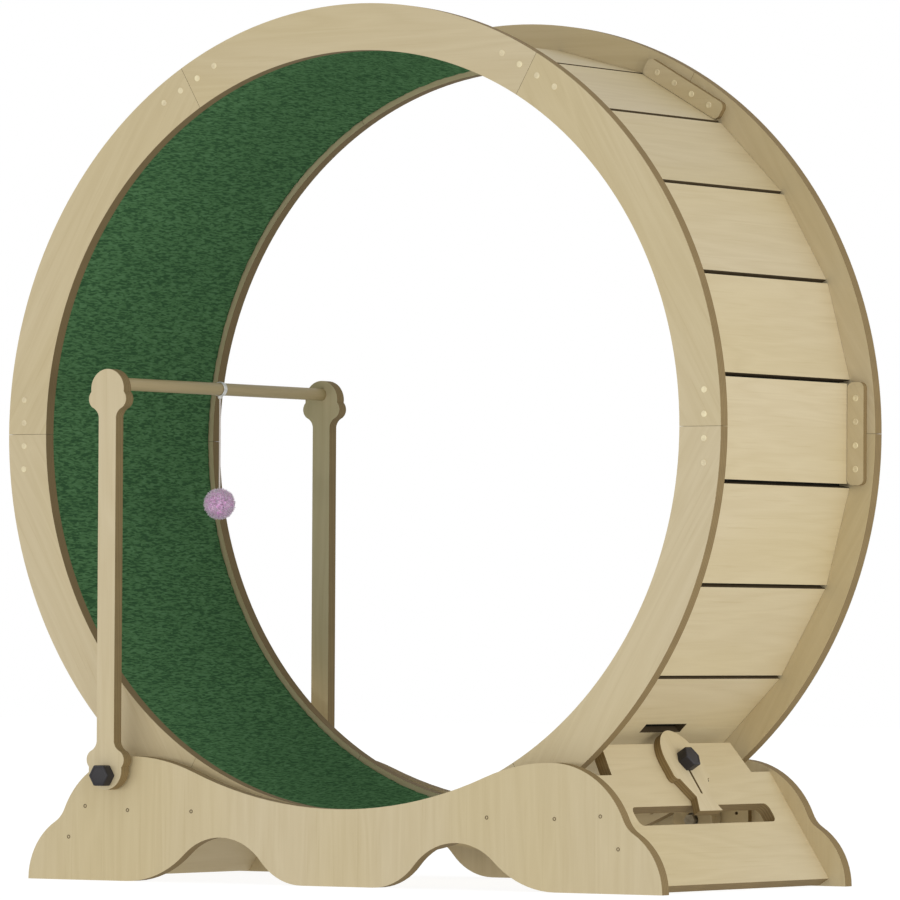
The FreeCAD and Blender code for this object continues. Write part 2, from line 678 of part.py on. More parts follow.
def revolve(label, x, y, z, profile):
    """A turned piece about an axis along Y, from (radius, place) corners."""
    body = new_body(label, Placement(Vector(x, y, z), Rotation()))
    section = new_sketch(body, "section", "XY_Plane")
    draw(section, [line(a, b) for a, b in zip(profile, profile[1:] + profile[:1])])
    turned = body.newObject("PartDesign::Revolution", "turned")
    turned.Profile = section
    turned.ReferenceAxis = (section, ["V_Axis"])
    turned.Angle = 360
    return body


def roller(label, x, y):
    """Grooved wheel: a tread between two flanges, bored for its bearing."""
    half, tread = roller_half_width, s.ring_thickness / 2 + s.groove_play
    seat = s.bearing_width / 2
    collar = s.bearing_radius - s.bearing_race
    rim, edge = s.roller_flange_radius, s.roller_edge
    profile = [(s.bearing_radius, -seat), (s.bearing_radius, half), (rim - edge, half), (rim, half - edge),
               (s.roller_groove_radius, tread), (s.roller_groove_radius, -tread),
               (rim, edge - half), (rim - edge, -half), (collar, -half), (collar, -seat)]
    revolve(label, x, y, roller_z, profile)


def bearing(label, x, y):
    """Ball bearing pressed against the shoulder inside its roller, with a recessed shield between its races."""
    face = s.bearing_width / 2
    shield = face - s.bearing_recess
    bore = s.axle_radius + s.running_fit
    inner, outer = bore + s.bearing_race, s.bearing_radius - s.bearing_race
    upper = [(bore, face), (inner, face), (inner, shield), (outer, shield), (outer, face), (s.bearing_radius, face)]
    lower = [(radius, -place) for radius, place in upper[::-1]]
    revolve(label, x, y, roller_z, upper + lower)


# ---------------------------------------------------------------- toy frame


def post_edges():
    """Outline of a post: a straight strip with a rounded, eared head at the pivot and at the bar."""
    half = s.post_width / 2
    length = bar_height - pivot_height
    low, high = s.post_neck, length - s.post_neck
    right, left = line((half, low), (half, high)), line((-half, high), (-half, low))
    return [right] + post_head(1, length) + [left] + post_head(-1, 0)


def post_head(sign, level):
    """Arcs of one head, over the bar or under the pivot: hollow, ear, dome, ear, hollow."""
    profile = [(s.post_width, s.post_neck), (s.head_hollow_width, s.head_hollow_place),
               (s.head_lobe_width, s.head_lobe_place), (s.head_ear_width, s.head_ear_place),
               (s.head_dome_width, s.head_dome_place)]
    first = [(sign * width / 2, level - sign * place) for width, place in profile]
    last = [(-x, z) for x, z in first[::-1]]
    points = first + [(0, level + sign * s.head_reach)] + last
    return [arc(*points[i:i + 3]) for i in range(0, len(points) - 2, 2)]


def build_toy_frame():
    length = bar_height - pivot_height
    for name, side in SIDES:
        y = -post_inner_face if side < 0 else post_outer_face
        body = new_body(f"{name}_post", Placement(Vector(-pivot_place, y, pivot_height), Rotation()))
        face = new_sketch(body, "outline", "XZ_Plane")
        draw(face, post_edges())
        draw_hole(face, (0, 0), "pivot_bolt_radius", "sizes.running_fit")
        extrude(body, face, "sizes.post_thickness")
        socket = new_sketch(body, "socket", "XZ_Plane")
        inner = 0 if side < 0 else s.post_thickness
        socket.AttachmentOffset = Placement(Vector(0, 0, inner), Rotation())
        draw_hole(socket, (0, length), "bar_radius")
        extrude(body, socket, "sizes.bar_socket", "Pocket", reverse=side < 0)
    start = along_axis(-pivot_place, -post_inner_face - s.bar_socket, bar_height)
    bar = cylinder("toy_bar", "sizes.bar_radius", "1", start)
    bar.setExpression("Height", "sizes.wheel_width + 2 * (sizes.panel_gap + sizes.panel_thickness"
                                " + sizes.post_standoff + sizes.bar_socket)")
    add("toy_bar", bar)


def build_pivots():
    """A bolt from inside each side panel, a spacing washer, and the knob that clamps the post."""
    bolts, washers = [], []
    for name, side in SIDES:
        outward = (0, side, 0)
        inside = side * panel_inner_face
        head = prism("bolt_head", "sizes.pivot_head_radius", "sizes.pivot_head",
                     along_axis(-pivot_place, inside, pivot_height, (0, -side, 0)))
        shank = cylinder("bolt_shank", "sizes.pivot_bolt_radius", "sizes.panel_thickness + sizes.post_standoff"
                         " + sizes.post_thickness + sizes.knob_bore_depth",
                         along_axis(-pivot_place, inside, pivot_height, outward))
        bolts.append(fuse(f"{name}_pivot_bolt", [head, shank]))
        seat = along_axis(-pivot_place, side * panel_outer_face, pivot_height, outward)
        disc = cylinder("washer_disc", "sizes.washer_radius", "sizes.post_standoff - sizes.face_gap", seat)
        bore = cylinder("washer_bore", "sizes.pivot_bolt_radius + sizes.running_fit", "sizes.post_standoff", seat)
        washers.append(cut(f"{name}_washer", disc, bore))
        knob(f"{name}_post_knob", along_axis(-pivot_place, side * (post_outer_face + s.face_gap),
                                             pivot_height, outward), "pivot_bolt_radius")
    add("pivot_bolts", group("pivot_bolts", bolts))
    add("pivot_washers", group("pivot_washers", washers))


def knob(label, placement, bolt_alias):
    """Six-sided knob with a bevelled rim, bored from its seat for the bolt."""
    body = new_body(label, placement)
    face = new_sketch(body, "hexagon", "XY_Plane")
    corners = [polar((0, 0), s.knob_radius, 60 * i + 30) for i in range(6)]
    draw(face, [line(a, b) for a, b in zip(corners, corners[1:] + corners[:1])])
    solid = extrude(body, face, "sizes.knob_height")
    doc.recompute()
    bevel = body.newObject("PartDesign::Chamfer", "rim")
    top = [f"Edge{i + 1}" for i, edge in enumerate(solid.Shape.Edges)
           if all(abs(v.Z - s.knob_height) < 0.01 for v in edge.Vertexes)]
    bevel.Base = (solid, top)
    bevel.setExpression("Size", "sizes.knob_chamfer")
    bore = new_sketch(body, "bore", "XY_Plane")
    draw_hole(bore, (0, 0), bolt_alias, "sizes.running_fit")
    extrude(body, bore, "sizes.knob_bore_depth + sizes.face_gap", "Pocket", reverse=True)


def build_toy():
    """Ball on a string, hung from a band that turns on the bar."""
    band_outer = s.bar_radius + s.running_fit + s.loop_thickness
    width = s.loop_width / 2
    bore = s.bar_radius + s.running_fit
    profile = [(bore, -width), (band_outer, -width), (band_outer, width), (bore, width)]
    revolve("toy_loop", -pivot_place, 0, bar_height, profile)
    string_top = bar_height - band_outer
    string = cylinder("toy_string", "sizes.string_radius", "sizes.string_length",
                      along_axis(-pivot_place, 0, string_top, (0, 0, -1)))
    add("toy_string", string)
    ball = doc.addObject("Part::Sphere", "fluffy_ball")
    ball.setExpression("Radius", "sizes.ball_radius")
    ball.Placement = Placement(Vector(-pivot_place, 0, string_top - s.string_length - s.ball_radius), Rotation())
    add("fluffy_ball", ball)


# ---------------------------------------------------------------- latch


def lever_edges():
    """Outline of the lever: a round-topped leaf, a step in to a narrow waist, and a tail over the hand slot."""
    leaf, tail, corner = s.lever_leaf_width / 2, s.lever_tail_width / 2, s.lever_leaf_corner
    side = [(leaf - corner, s.lever_step_place), (s.lever_step_width / 2, s.lever_step_place),
            (s.lever_waist_width / 2, s.lever_waist_place), (tail, s.lever_tail_place)]
    halves = []
    for sign in (1, -1):
        crown = (sign * s.lever_crown_width / 2, s.lever_crown_place)
        high, low = (sign * leaf, s.lever_leaf_place), (sign * leaf, s.lever_step_place + corner)
        under = [(sign * x, up) for x, up in side]
        edges = [arc((0, s.lever_tip), crown, high), line(high, low),
                 round_between(low, under[0], (under[0][0], low[1]))]
        halves.append(edges + [line(a, b) for a, b in zip(under, under[1:])])
    bottom = line((tail, s.lever_tail_place), (-tail, s.lever_tail_place))
    return halves[0] + [bottom] + halves[1][::-1]


def build_latch():
    """The lever lies on the +X end board and slides on a bolt, clamped by its knob."""
    seat = s.board_thickness / 2
    body = new_body("latch_lever", slope_placement(1, 0, seat))
    face = new_sketch(body, "outline", "XY_Plane")
    draw(face, lever_edges())
    slit_half = s.latch_bolt_radius + s.running_fit
    draw(face, slit_edges(slit_half, s.latch_bolt_place, s.slit_length - 2 * slit_half))
    extrude(body, face, "sizes.lever_thickness")
    front = seat + s.lever_thickness + s.face_gap
    knob("latch_knob", slope_placement(1, s.latch_bolt_place, front), "latch_bolt_radius")
    back = slope_placement(1, s.latch_bolt_place, -seat)
    shank = cylinder("latch_shank", "sizes.latch_bolt_radius", "sizes.board_thickness + sizes.lever_thickness"
                     " + sizes.knob_bore_depth", back)
    head_place = slope_placement(1, s.latch_bolt_place, -seat - s.latch_head)
    head = prism("latch_head", "sizes.latch_head_radius", "sizes.latch_head", head_place)
    add("latch_bolt", fuse("latch_bolt", [shank, head]))


def slit_edges(half, high, run):
    """A narrow slit with round ends, up the slope, its upper end round the latch bolt."""
    low = high - run
    return [line((half, low), (half, high)), arc((half, high), (0, high + half), (-half, high)),
            line((-half, high), (-half, low)), arc((-half, low), (0, low - half), (half, low))]


# ---------------------------------------------------------------- build, check and export

build_drum()
build_carpet()
build_cleats()
build_panels()
build_end_boards()
build_rollers()
build_toy_frame()
build_pivots()
build_toy()
build_latch()
doc.recompute()

broken = [obj.Name for obj in doc.Objects if {"Invalid", "Error"} & set(obj.State)]
if broken:
    raise RuntimeError(f"failed objects: {broken}")
for part in parts:
    if part.Shape.isNull() or not part.Shape.isValid():
        raise RuntimeError(f"bad shape: {part.Label}")
os.makedirs("parts", exist_ok=True)
for part in parts:
    part.Shape.exportStep(f"parts/{part.Label}.step")
    print(f"{part.Label}: {len(part.Shape.Solids)} solid(s), {part.Shape.Volume / 1000:.1f} cm3")
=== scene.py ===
"""Cat exercise wheel: finishes, carpet, hardware and toy over the fixed frame, and their stage."""

import json
import math
import random

import bmesh
import bpy
from bpy.props import FloatProperty, FloatVectorProperty, IntProperty, PointerProperty
from mathutils import Matrix, Vector, noise


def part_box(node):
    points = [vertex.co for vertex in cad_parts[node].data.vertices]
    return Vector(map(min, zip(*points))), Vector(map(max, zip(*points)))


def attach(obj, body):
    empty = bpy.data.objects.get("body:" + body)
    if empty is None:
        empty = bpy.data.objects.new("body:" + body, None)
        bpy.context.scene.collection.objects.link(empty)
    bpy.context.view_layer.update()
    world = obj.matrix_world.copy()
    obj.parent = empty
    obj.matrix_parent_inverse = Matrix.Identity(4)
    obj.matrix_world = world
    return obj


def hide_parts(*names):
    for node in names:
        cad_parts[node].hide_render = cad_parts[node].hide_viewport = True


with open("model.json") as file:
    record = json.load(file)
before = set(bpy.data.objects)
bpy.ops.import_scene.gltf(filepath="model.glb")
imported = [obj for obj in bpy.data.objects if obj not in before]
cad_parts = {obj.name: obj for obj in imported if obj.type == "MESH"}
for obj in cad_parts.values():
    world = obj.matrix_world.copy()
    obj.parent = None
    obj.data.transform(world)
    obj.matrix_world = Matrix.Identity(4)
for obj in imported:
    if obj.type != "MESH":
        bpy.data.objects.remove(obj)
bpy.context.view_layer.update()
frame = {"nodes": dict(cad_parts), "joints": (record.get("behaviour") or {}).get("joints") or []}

bl_info = {
    "name": "Cat exercise wheel",
    "version": (1, 0, 0),
    "blender": (4, 5, 0),
    "location": "3D View > Sidebar > Cat wheel",
    "description": "Plywood, carpet, hardware and toy of a cat exercise wheel, and its studio",
    "category": "Object",
}

FULL_TURN = 2 * math.pi
SEGMENTS = 6
SLATS = 24
SIDES = (("front", -1), ("rear", 1))
X, Y, Z = Vector((1, 0, 0)), Vector((0, 1, 0)), Vector((0, 0, 1))

# The small hole through the end board beside the lever, and how far the painted shade in and round it
# reaches from its axis
SIDE_HOLE = (0.33871, 0.047, 0.12229)
HOLE_SHADE_REACH = 0.0036

# Patterns of the plywood: repeats a metre along the grain and across it, layer of the noise, and its detail
FIGURE = (2.2, 26.0, 1.0, 2.5)
TINT = (1.7, 5.0, 2.0, 2.0)
SCORCH = (38.0, 38.0, 3.0, 2.0)
FIBRES = (22.0, 620.0, 4.0, 3.0)
STREAKS = (9.0, 330.0, 7.0, 1.0)
# How far apart the patterns of two sheets lie, for the two sides of a fold and for neighbouring sectors
FOLD_SHIFT = 0.37
SECTOR_SHIFT = 0.73

# The carpet: its thickness and pile, its play at the rings and at the slats, its mesh, and its rolled edge
CARPET_THICKNESS = 0.0057
PILE_DEPTH = 0.0035
CARPET_SIDE_PLAY = 0.0006
CARPET_BACK_PLAY = 0.0003
CARPET_MESH = 0.0055
CARPET_ROLL = 0.004
CARPET_ROLL_DROP = 0.0016

# The knobs' tops: flat rim, step down to the cap, the cap's slope and its rise, and the corners' bevel
KNOB_RIM = 0.0030
KNOB_STEP = 0.0005
CAP_SLOPE = 0.0040
CAP_RISE = 0.0003
KNOB_BEVEL = 0.0014

# Round heads: height, radius of the socket and its depth, and how far the seat lies inside the CAD's
SEAM_CAP = {"rise": 0.0010, "socket": 0.0017, "depth": 0.0003}
SEAM_CAP_SEAT = 0.0006
SCREW_HEAD = {"rise": 0.0010, "socket": 0.0014, "depth": 0.0009}
SCREW_HEAD_SEAT = 0.0008
HEAD_TAPER = 0.86
SOCKET_SLOPE = 0.12
# A screw's shank: radius at its tip and at its head, length, and how far its middle lies below the seat
SHANK_RADII = (0.0012, 0.002)
SHANK_LENGTH = 0.02
SHANK_MIDDLE = 0.0101
# Radius of the frame's wood screws, and how far a bracket's screws stand from its ends
SCREW_RADIUS = 0.0035
BRACKET_SCREW_INSET = 0.016

# The toy: play of the band on the bar, its knot, and the string's end inside the ball
BAND_PLAY = 0.0001
KNOT_RADIUS = 0.0026
KNOT_SHAPE = (1.0, 1.25, 0.8)
KNOT_DROP = 0.0008
STRING_IN_BALL = 0.002
# The ball: its heart, its tufts' lengths and where they end, as shares of its radius
HEART_SHARE = 0.80
TUFT_LENGTHS = (0.24, 0.36)
TUFT_TIPS = (0.90, 1.0)
# Its waves, as a share of the heart and as waves a metre; the tufts' scatter, and radii at root and tip
HEART_WAVE = 0.10
HEART_WAVES = 260
TUFT_SCATTER = 0.16
TUFT_RADII = (0.00075, 0.00016)

# Lamps: place, the point each is turned to, width and height
LAMPS = (
    ("front", (-0.6, -2.8, 0.17), (-0.2, 0, 0.17), (2.4, 0.30)),
    ("side", (3.4, -0.6, 0.60), (0.4, 0, 0.45), (2.0, 1.1)),
)
# The floor: half its width, its drop under the feet, and its matt tone and glow, as light and camera see it
FLOOR_SIZE = 14
FLOOR_DROP = 0.0003
FLOOR_TONE = 0.35
FLOOR_TONE_SEEN = 0.24
FLOOR_GLOW_SEEN = 0.90


# ---------------------------------------------------------------- the frame's places


def middle(node):
    low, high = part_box(node)
    return (Vector(low) + Vector(high)) / 2


def extent(node):
    low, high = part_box(node)
    return Vector(high) - Vector(low)


def joint(name):
    return next(j for j in frame["joints"] if j["name"] == name)


def joint_line(name):
    """Place and direction of one of the frame's hinges."""
    hinge = joint(name)
    return Vector(hinge["pos_m"]), Vector(hinge["axis"]).normalized()


def axle():
    """Middle of the wheel."""
    return joint_line("wheel_spin")[0]


SLOPE_UP = Vector(joint("latch_slide")["axis"]).normalized()
SLOPE_OUT = SLOPE_UP.cross(Y) * -1


# ---------------------------------------------------------------- settings


def colour(name, description, default):
    return FloatVectorProperty(name=name, description=description, default=default, size=3, min=0,
                               max=1, subtype="COLOR")


def length(name, description, default):
    return FloatProperty(name=name, description=description, default=default, min=0, unit="LENGTH")


def angle(name, description, degrees):
    return FloatProperty(name=name, description=description, default=math.radians(degrees), subtype="ANGLE")


def level(name, description, default):
    return FloatProperty(name=name, description=description, default=default, min=0)


def share(name, description, default):
    return FloatProperty(name=name, description=description, default=default, min=0, max=1,
                         subtype="FACTOR")


class WoodSettings(bpy.types.PropertyGroup):
    face: colour("Face", "Birch veneer between the grain lines", (0.635, 0.53, 0.315))
    grain: colour("Grain", "Grain lines of the veneer", (0.47, 0.365, 0.185))
    blush: colour("Blush", "Paler, pinker patches of the veneer", (0.66, 0.56, 0.365))
    edge: colour("Edge", "Cut edge, browned by the cutter", (0.31, 0.22, 0.095))
    # Darker plies of a cut edge, used also as painted shade on cut edges that face the wheel's axis
    edge_ply_and_shade: colour("Edge ply", "Darker plies of a cut edge", (0.17, 0.115, 0.05))
    # Laser scorch, used also as painted shade on the slats' gap walls and in the end board's small hole
    scorch_and_shade_tone: colour("Scorch", "Cut edge burned dark by the laser", (0.030, 0.018, 0.008))
    ply: length("Ply", "Thickness of one ply", 0.00167)
    strength: share("Grain strength", "How clearly the grain shows", 0.42)
    rod: colour("Rod", "Turned rod of the toy frame", (0.50, 0.385, 0.205))


class CarpetSettings(bpy.types.PropertyGroup):
    dark: colour("Dark", "Shadow between the loops", (0.047, 0.118, 0.052))
    base: colour("Base", "Most of the pile", (0.092, 0.210, 0.088))
    light: colour("Light", "Lit loops", (0.125, 0.270, 0.125))
    backing: colour("Backing", "Woven back of the carpet", (0.028, 0.026, 0.020))
    loop: length("Loop", "Distance between two rows of loops", 0.0046)
    relief: length("Relief", "Height of the loops over the ground", 0.0011)


class HardwareSettings(bpy.types.PropertyGroup):
    knob: colour("Knob", "Moulded plastic of the knobs", (0.015, 0.013, 0.015))
    steel: colour("Steel", "Plated screws and bolts", (0.42, 0.38, 0.30))
    screw: colour("Screw", "Browned heads of the wood screws", (0.20, 0.155, 0.09))
    cap: colour("Cap", "Caps of the seam bolts", (0.70, 0.60, 0.39))
    roller: colour("Roller", "Moulded rollers", (0.42, 0.34, 0.20))
    seam_bolt_circle: length("Seam bolt circle", "Wheel axis to the seam bolts", 0.4775)
    seam_bolt_spacing: length("Seam bolt spacing", "Between two bolts of a joining plate", 0.0277)
    cap_radius: length("Cap radius", "Cap of a seam bolt", 0.004)
    head_radius: length("Head radius", "Head of a wood screw", 0.0026)


class ToySettings(bpy.types.PropertyGroup):
    tips: colour("Tips", "Ends of the fluff", (1.0, 0.86, 0.98))
    heart: colour("Heart", "Inside of the fluff", (0.96, 0.46, 0.90))
    string: colour("String", "Twisted string", (0.97, 0.88, 0.82))
    band: colour("Band", "Band round the bar", (0.96, 0.94, 0.92))
    tufts: IntProperty(name="Tufts", description="Tufts of fluff on the ball", default=2600, min=100,
                       max=8000)


class StageSettings(bpy.types.PropertyGroup):
    azimuth: angle("Azimuth", "Camera's turn round the wheel", 33.15)
    elevation: angle("Elevation", "Camera above the wheel's axis", -1.54)
    roll: angle("Roll", "Camera's tilt", 0.31)
    distance: length("Distance", "Camera to the wheel's middle", 9.0)
    lens: FloatProperty(name="Lens", description="Focal length in millimetres", default=302.75, min=1)
    shift: FloatVectorProperty(name="Shift", description="Shift of the picture", size=2,
                               default=(0.0116, -0.0174))
    ambient: level("Ambient", "Light from all round", 0.60)
    glow: level("Glow", "Light from the table under the stand", 0.50)
    front: level("Front", "Long low lamp before the stand, in watts", 16.0)
    side: level("Side", "Low lamp beyond the latch end, in watts", 34.0)


# ---------------------------------------------------------------- making pieces


def link(obj):
    bpy.context.scene.collection.objects.link(obj)
    return obj


def make_piece(name, work, material, body, stands_for=(), sharp=35):
    """Turns a finished bmesh into a piece that rides on a body of the frame."""
    bmesh.ops.remove_doubles(work, verts=work.verts, dist=1e-6)
    bmesh.ops.recalc_face_normals(work, faces=work.faces)
    mesh = bpy.data.meshes.new(name)
    work.to_mesh(mesh)
    work.free()
    mesh.shade_smooth()
    mesh.set_sharp_from_angle(angle=math.radians(sharp))
    mesh.materials.append(material)
    piece = link(bpy.data.objects.new(name, mesh))
    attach(piece, body)
    if stands_for:
        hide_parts(*stands_for)
    return piece


def frame_matrix(place, across, along):
    """Turns a shape drawn about Z so that its X lies across and its Z along two directions."""
    z = along.normalized()
    x = (across - across.dot(z) * z).normalized()
    y = z.cross(x)
    turn = Matrix((x, y, z)).transposed().to_4x4()
    return Matrix.Translation(place) @ turn


def bevel(work, edges, width, segments):
    return bmesh.ops.bevel(work, geom=edges, offset=width, offset_type="OFFSET", affect="EDGES",
                           segments=segments, profile=0.5, material=-1)


def top_face(faces, direction):
    return max(faces, key=lambda face: face.calc_center_median().dot(direction))


# ---------------------------------------------------------------- making finishes


class Finish:
    """A material under construction."""

    def __init__(self, name):
        self.material = bpy.data.materials.new(name)
        self.material.use_nodes = True
        self.tree = self.material.node_tree
        self.tree.nodes.clear()
        self.coordinates = self.node("TexCoord")

    def node(self, kind, inputs=None, **settings):
        made = self.tree.nodes.new("ShaderNode" + kind)
        for name, value in settings.items():
            setattr(made, name, value)
        for name, value in (inputs or {}).items():
            socket = made.inputs[name]
            if isinstance(value, bpy.types.NodeSocket):
                self.tree.links.new(value, socket)
            else:
                socket.default_value = (*value, 1.0) if socket.type == "RGBA" else value
        return made

    def math(self, operation, *values, clamp=False):
        return self.node("Math", dict(enumerate(values)), operation=operation, use_clamp=clamp).outputs[0]

    def vector(self, operation, *values):
        made = self.node("VectorMath", dict(enumerate(values)), operation=operation)
        return made.outputs["Value" if operation in ("DOT_PRODUCT", "LENGTH") else "Vector"]

    def split(self, vector):
        return self.node("SeparateXYZ", {0: vector}).outputs[:]

    def join(self, x, y, z):
        return self.node("CombineXYZ", {0: x, 1: y, 2: z}).outputs[0]

    def noise(self, vector, scale=1.0, detail=2.0, distortion=0.0):
        inputs = {"Vector": vector, "Scale": scale, "Detail": detail, "Distortion": distortion}
        return self.node("TexNoise", inputs).outputs["Fac"]

    def step(self, value, low, high):
        """0 at low, 1 at high and smooth between. Low may be the larger of the two."""
        inputs = {"Value": value, "From Min": low, "From Max": high}
        return self.node("MapRange", inputs, interpolation_type="SMOOTHSTEP").outputs[0]

    def mix(self, factor, first, second):
        return self.node("Mix", {0: factor, 6: first, 7: second}, data_type="RGBA").outputs[2]

    def bump(self, height, strength, distance):
        return self.node("Bump", {"Height": height, "Strength": strength, "Distance": distance}).outputs[0]

    def surface(self, **inputs):
        """Ends the material in a principled shader. Underscores in the names stand for spaces."""
        named = {name.replace("_", " "): value for name, value in inputs.items()}
        shader = self.node("BsdfPrincipled", named)
        self.node("OutputMaterial", {"Surface": shader.outputs[0]})
        return self.material


def folded(work, place, normal, axis):
    """Mirrors places and normals over X or Y. The third result is the side they were on, -1 or 1."""
    places, normals = list(work.split(place)), list(work.split(normal))
    number = "XY".index(axis)
    side = work.math("SIGN", places[number])
    places[number] = work.math("ABSOLUTE", places[number])
    normals[number] = work.math("MULTIPLY", normals[number], side)
    return work.join(*places), work.join(*normals), side


def first_sector(work, place, normal, sector, first):
    """Turns every sector of the wheel back onto the first. The third result is the sector's number."""
    x, _, z = work.split(place)
    away = work.math("SUBTRACT", work.math("ARCTAN2", z, x), first)
    number = work.math("ROUND", work.math("DIVIDE", away, sector))
    turn = {"Axis": (0, 1, 0), "Angle": work.math("MULTIPLY", number, sector)}
    place, normal = (work.node("VectorRotate", {"Vector": vector, **turn},
                               rotation_type="AXIS_ANGLE").outputs[0] for vector in (place, normal))
    return place, normal, number


def veneer(work, wood, pattern, fibres, streaks):
    """Colour of a sheet's face: grain lines over two tints."""
    arches = work.math("PINGPONG", work.math("MULTIPLY", pattern(FIGURE, distortion=0.35), 13.0), 1.0)
    tint = work.step(pattern(TINT), 0.32, 0.68)
    line = work.math("ADD", work.math("MULTIPLY", arches, 0.42), work.math("MULTIPLY", fibres, 0.48))
    line = work.math("ADD", line, work.math("MULTIPLY", streaks, 0.35))
    line = work.math("MULTIPLY", line, wood.strength, clamp=True)
    return work.mix(line, work.mix(tint, wood.face, wood.blush), wood.grain)


def cut_edge(work, wood, pattern, deep, inward, scorch_and_shade):
    """Colour of a cut edge: plies, browned in clouds. Edges that face the wheel's axis are darker, as
    painted shade, and a share goes towards near black, laser scorch deepened into painted shade.
    """
    plies = work.step(work.math("PINGPONG", work.math("DIVIDE", deep, wood.ply), 1.0), 0.35, 0.65)
    band = work.math("MULTIPLY_ADD", pattern(SCORCH), 0.45, work.math("MULTIPLY", plies, 0.42))
    edge = work.mix(band, wood.edge, wood.edge_ply_and_shade)
    if inward is not None:
        # Painted shade: cut edges that face the wheel's axis are mixed towards the darker ply tone
        painted_inner_shade = work.math("MULTIPLY", work.math("LESS_THAN", inward, 0.0), 0.55)
        edge = work.mix(painted_inner_shade, edge, wood.edge_ply_and_shade)
    # Painted shade: a share of the edge goes towards near black, the laser's scorch deepened to stand for
    # the shade in narrow gaps
    return work.mix(scorch_and_shade, edge, wood.scorch_and_shade_tone)


def plywood(name, grain, across, thickness, start=0.0, centre=(0, 0, 0), sector=0.0, first=0.0,
            fold=None, seed=0.0, scorch_and_shade=0.0, hole=None):
    """Birch plywood with browned edges.

    grain, across and thickness are the sheet's three directions, and start is where its first ply begins.
    A sector repeats the sheet round the wheel, each one with a grain of its own. fold mirrors the sheet
    over X or Y. Cut edges can be darkened towards near black, laser scorch deepened into painted shade, and
    hole is the place of a small hole whose walls and rim get painted shade.
    """
    wood = bpy.context.scene.cat_wheel_wood
    work = Finish(name)
    place = work.vector("SUBTRACT", work.coordinates.outputs["Object"], centre)
    normal = work.coordinates.outputs["Normal"]
    spot = seed
    inward = None
    if fold:
        place, normal, side = folded(work, place, normal, fold)
        spot = work.math("ADD", work.math("MULTIPLY", side, FOLD_SHIFT), seed)
    if sector:
        x, _, z = work.split(place)
        inward = work.vector("DOT_PRODUCT", work.join(x, 0.0, z), normal)
        place, normal, number = first_sector(work, place, normal, sector, first)
        spot = work.math("ADD", work.math("MULTIPLY", number, SECTOR_SHIFT), spot)
    along = work.vector("DOT_PRODUCT", place, grain)
    wide = work.vector("DOT_PRODUCT", place, across)
    deep = work.math("SUBTRACT", work.vector("DOT_PRODUCT", place, thickness), start)
    facing = work.math("ABSOLUTE", work.vector("DOT_PRODUCT", normal, thickness))

    def pattern(kind, distortion=0.0):
        lengthwise, crosswise, layer, detail = kind
        stretched = work.join(work.math("MULTIPLY", along, lengthwise),
                              work.math("MULTIPLY", wide, crosswise),
                              work.math("MULTIPLY_ADD", spot, 9.0, layer))
        return work.noise(stretched, detail=detail, distortion=distortion)

    fibres = pattern(FIBRES)
    streaks = work.step(pattern(STREAKS), 0.60, 0.78)
    cut = work.math("LESS_THAN", facing, 0.5)
    tone = work.mix(cut, veneer(work, wood, pattern, fibres, streaks),
                    cut_edge(work, wood, pattern, deep, inward, scorch_and_shade))
    # Painted shade: the small hole's walls and rim are mixed towards near black
    if hole is not None:
        away = work.vector("SUBTRACT", work.coordinates.outputs["Object"], hole)
        away = work.vector("LENGTH", work.vector("CROSS_PRODUCT", away, thickness))
        tone = work.mix(work.step(away, HOLE_SHADE_REACH, HOLE_SHADE_REACH * 0.75), tone, wood.scorch_and_shade_tone)
    height = work.math("ADD", work.math("MULTIPLY", fibres, 0.6), work.math("MULTIPLY", streaks, -0.4))
    rough = work.math("MULTIPLY_ADD", cut, 0.22, work.math("MULTIPLY_ADD", fibres, 0.12, 0.50))
    return work.surface(Base_Color=tone, Roughness=rough, Specular_IOR_Level=0.32,
                        Normal=work.bump(height, 0.16, 0.0006))


def turned_rod():
    """Round rod with its grain along Y."""
    wood = bpy.context.scene.cat_wheel_wood
    work = Finish("turned rod")
    place = work.vector("MULTIPLY", work.coordinates.outputs["Object"], (420.0, 14.0, 420.0))
    fibres = work.noise(place, detail=3.0)
    tone = work.mix(work.step(fibres, 0.25, 0.8), wood.rod, wood.grain)
    return work.surface(Base_Color=tone, Roughness=work.math("MULTIPLY_ADD", fibres, 0.2, 0.42),
                        Specular_IOR_Level=0.35, Normal=work.bump(fibres, 0.15, 0.0005))


